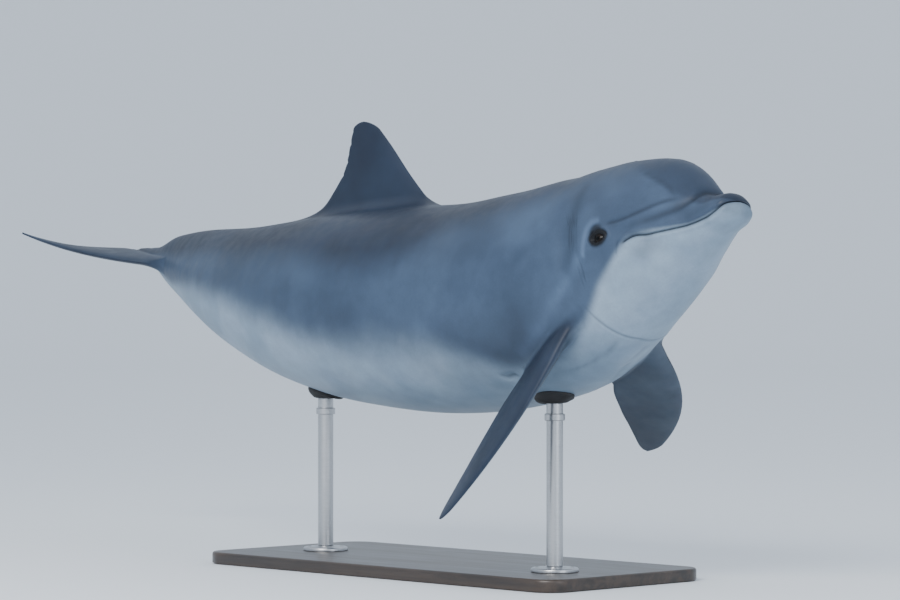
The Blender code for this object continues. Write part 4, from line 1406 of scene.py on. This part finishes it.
def eye_finish():
    """Dark brown iris round a wide black pupil, under a clear wet coat."""
    f = Finish("dolphin_eye")
    polar, turn = f.mark("along"), f.mark("round")
    spokes = f.noise(1.0, 3, 0.6, f.pair(f.times(turn, 9.0), f.times(polar, 0.12)))
    iris = f.blend(f.span(spokes, 0.3, 0.7), srgb(9, 7, 7), srgb(24, 17, 13))
    white = f.blend(f.span(polar, 50, 64), srgb(13, 12, 12), srgb(48, 44, 43))
    colour = f.blend(f.span(polar, 41, 46), iris, white)
    ring = f.times(f.span(polar, 34, 41), f.span(polar, 48, 42))
    colour = f.blend(ring, colour, srgb(6, 5, 5))
    edge = f.math("ADD", polar, f.times(f.math("SINE", turn), 3.0))
    colour = f.blend(f.span(edge, 19, 15), colour, srgb(2, 2, 3))
    return f.done(colour=colour, roughness=0.3, specular=0.05, coat=0.16, coat_roughness=0.06)


def board_finish():
    """Dark stained oak under satin lacquer: long grain and fine pores."""
    f = Finish("stained_oak")
    figure = f.noise(2.2, 5, 0.6, f.where((1.0, 14.0, 14.0)), 1.2)
    pores = f.noise(38.0, 2, 0.7, f.where((1.0, 22.0, 22.0)))
    colour = f.blend(f.span(figure, 0.3, 0.7), srgb(38, 31, 27), srgb(66, 53, 44))
    colour = f.blend(f.span(pores, 0.6, 0.72), colour, srgb(22, 18, 16))
    return f.done(colour=colour, roughness=f.span(figure, 0.2, 0.8, 0.34, 0.46),
                  normal=f.bump(pores, 0.12, 0.0003), coat=0.25, coat_roughness=0.25)


def steel_finish():
    """Brushed stainless steel: fine level brushing round the posts."""
    f = Finish("brushed_steel")
    lines = f.noise(3.0, 3, 0.7, f.where((18.0, 18.0, 900.0)))
    colour = f.blend(f.span(lines, 0.2, 0.8), srgb(170, 171, 173), srgb(200, 201, 203))
    smear = f.span(f.noise(12.0, 3, 0.5), 0.4, 0.8, 0.0, 0.08)
    rough = f.math("ADD", f.span(lines, 0.2, 0.8, 0.26, 0.36), smear)
    return f.done(colour=colour, metal=1.0, roughness=rough, normal=f.bump(lines, 0.1, 0.0002))


def pad_finish():
    """Matte black rubber with a fine grain and a little dust."""
    f = Finish("black_rubber")
    dust = f.noise(30.0, 4, 0.6)
    colour = f.blend(f.span(dust, 0.4, 0.8), srgb(24, 24, 26), srgb(44, 44, 46))
    return f.done(colour=colour, roughness=f.span(dust, 0.3, 0.8, 0.62, 0.8),
                  normal=f.bump(f.noise(900.0, 2, 0.5), 0.25, 0.0003))


# ---- studio --------------------------------------------------------------
ROOM_FLOOR, ROOM_REACH, ROOM_HEIGHT = 22.0, 34.0, 16.0


def make_studio():
    """A pale round floor that curves up into a wall: a quarter circle turned about Z."""
    room = Piece()
    turn = np.linspace(0, 2 * math.pi, 96, endpoint=False)
    bend = np.linspace(0, math.pi / 2, 24)
    radius = np.concatenate([[2.0, 5.0], ROOM_FLOOR + (ROOM_REACH - ROOM_FLOOR) * np.sin(bend)])[:, None]
    height = np.concatenate([[0, 0], ROOM_HEIGHT * (1 - np.cos(bend))])[:, None]
    rings = room.add(np.stack([radius * np.cos(turn), radius * np.sin(turn), height + 0 * turn], -1))
    room.spread(closed(rings)[:, ::-1], (0, 0, 1, 1))
    middle = room.add(np.zeros((1, 3)))[0]
    room.fan(rings[0], middle, (0, 0, 0.1, 0.1))
    pale = Finish("studio_pale").done(colour=srgb(232, 236, 240), roughness=0.85)
    room.build("studio_floor", pale)


def add_light(name, at, aim, size, watts, colour):
    """A soft square light that points at a place."""
    data = bpy.data.lights.new(name, "AREA")
    data.shape, data.size, data.energy, data.color = "SQUARE", size, watts, colour
    lamp = add_object(name, data)
    lamp.location = at
    x, y, z = unit(np.array(aim) - np.array(at))
    lamp.rotation_euler = (math.acos(-z), 0, math.atan2(y, x) - math.pi / 2)
    lamp.visible_camera = False


CAMERA_AZIMUTH, CAMERA_DISTANCE, CAMERA_LENS, SENSOR = 46.0, 7.898, 132.0, 36.0
CAMERA_RIGHT, CAMERA_UP = 0.0078, 0.01       # off the body's middle, along the frame


def make_camera():
    """A level camera off the animal's right bow."""
    a = math.radians(CAMERA_AZIMUTH)
    right, view = np.array([math.cos(a), math.sin(a), 0]), np.array([-math.sin(a), math.cos(a), 0])
    at = np.array([0, 0, AXIS_HEIGHT + CAMERA_UP]) + right * CAMERA_RIGHT - view * CAMERA_DISTANCE
    data = bpy.data.cameras.new("camera")
    data.lens, data.sensor_width, data.clip_end = CAMERA_LENS, SENSOR, 120.0
    camera = add_object("camera", data)
    camera.location = at
    camera.rotation_euler = (math.pi / 2, 0, a)
    bpy.context.scene.camera = camera


SKY_COLOUR, SKY_STRENGTH = (222, 232, 244), 1.25
# Each light: its place, what it points at, its size, its watts and its colour
LIGHTS = {
    "key": ((2.2, -5.6, 4.2), (0.1, 0, 0.7), 3.2, 420, (1.0, 0.98, 0.95)),
    "fill": ((6.4, -0.6, 1.8), (0.3, 0, 0.6), 3.0, 70, (0.9, 0.95, 1.0)),
}


def make_light():
    """An even pale sky, a broad light from the front left and a faint fill."""
    world = bpy.data.worlds.new("studio_air")
    world.use_nodes = True
    air = world.node_tree.nodes["Background"].inputs
    air["Color"].default_value = srgb(*SKY_COLOUR)
    air["Strength"].default_value = SKY_STRENGTH
    bpy.context.scene.world = world
    for name, light in LIGHTS.items():
        add_light(name, *light)


def main():
    """Make every piece, hang each one on the root's empty, and hide the solids it stands in for."""
    make_camera()
    make_studio()
    make_light()
    skin = make_skin(skin_finish())
    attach(skin, "root")
    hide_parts(*FLESH)
    wet = eye_finish()
    for side in ("left", "right"):
        ball = make_eyeball(side, wet)
        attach(ball, "root")
        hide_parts("eye_" + side)
    board = make_board(board_finish())
    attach(board, "root")
    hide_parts("stand_base")
    steel, rubber = steel_finish(), pad_finish()
    for name, s in ROD_PLACES.items():
        for piece, node, slot in zip(make_post(name, s, steel, rubber),
                                     ("stand_flange_", "stand_rod_", "stand_saddle_"),
                                     ("stand_steel", "stand_steel", "stand_pad")):
            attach(piece, "root")
            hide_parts(node + name)


main()
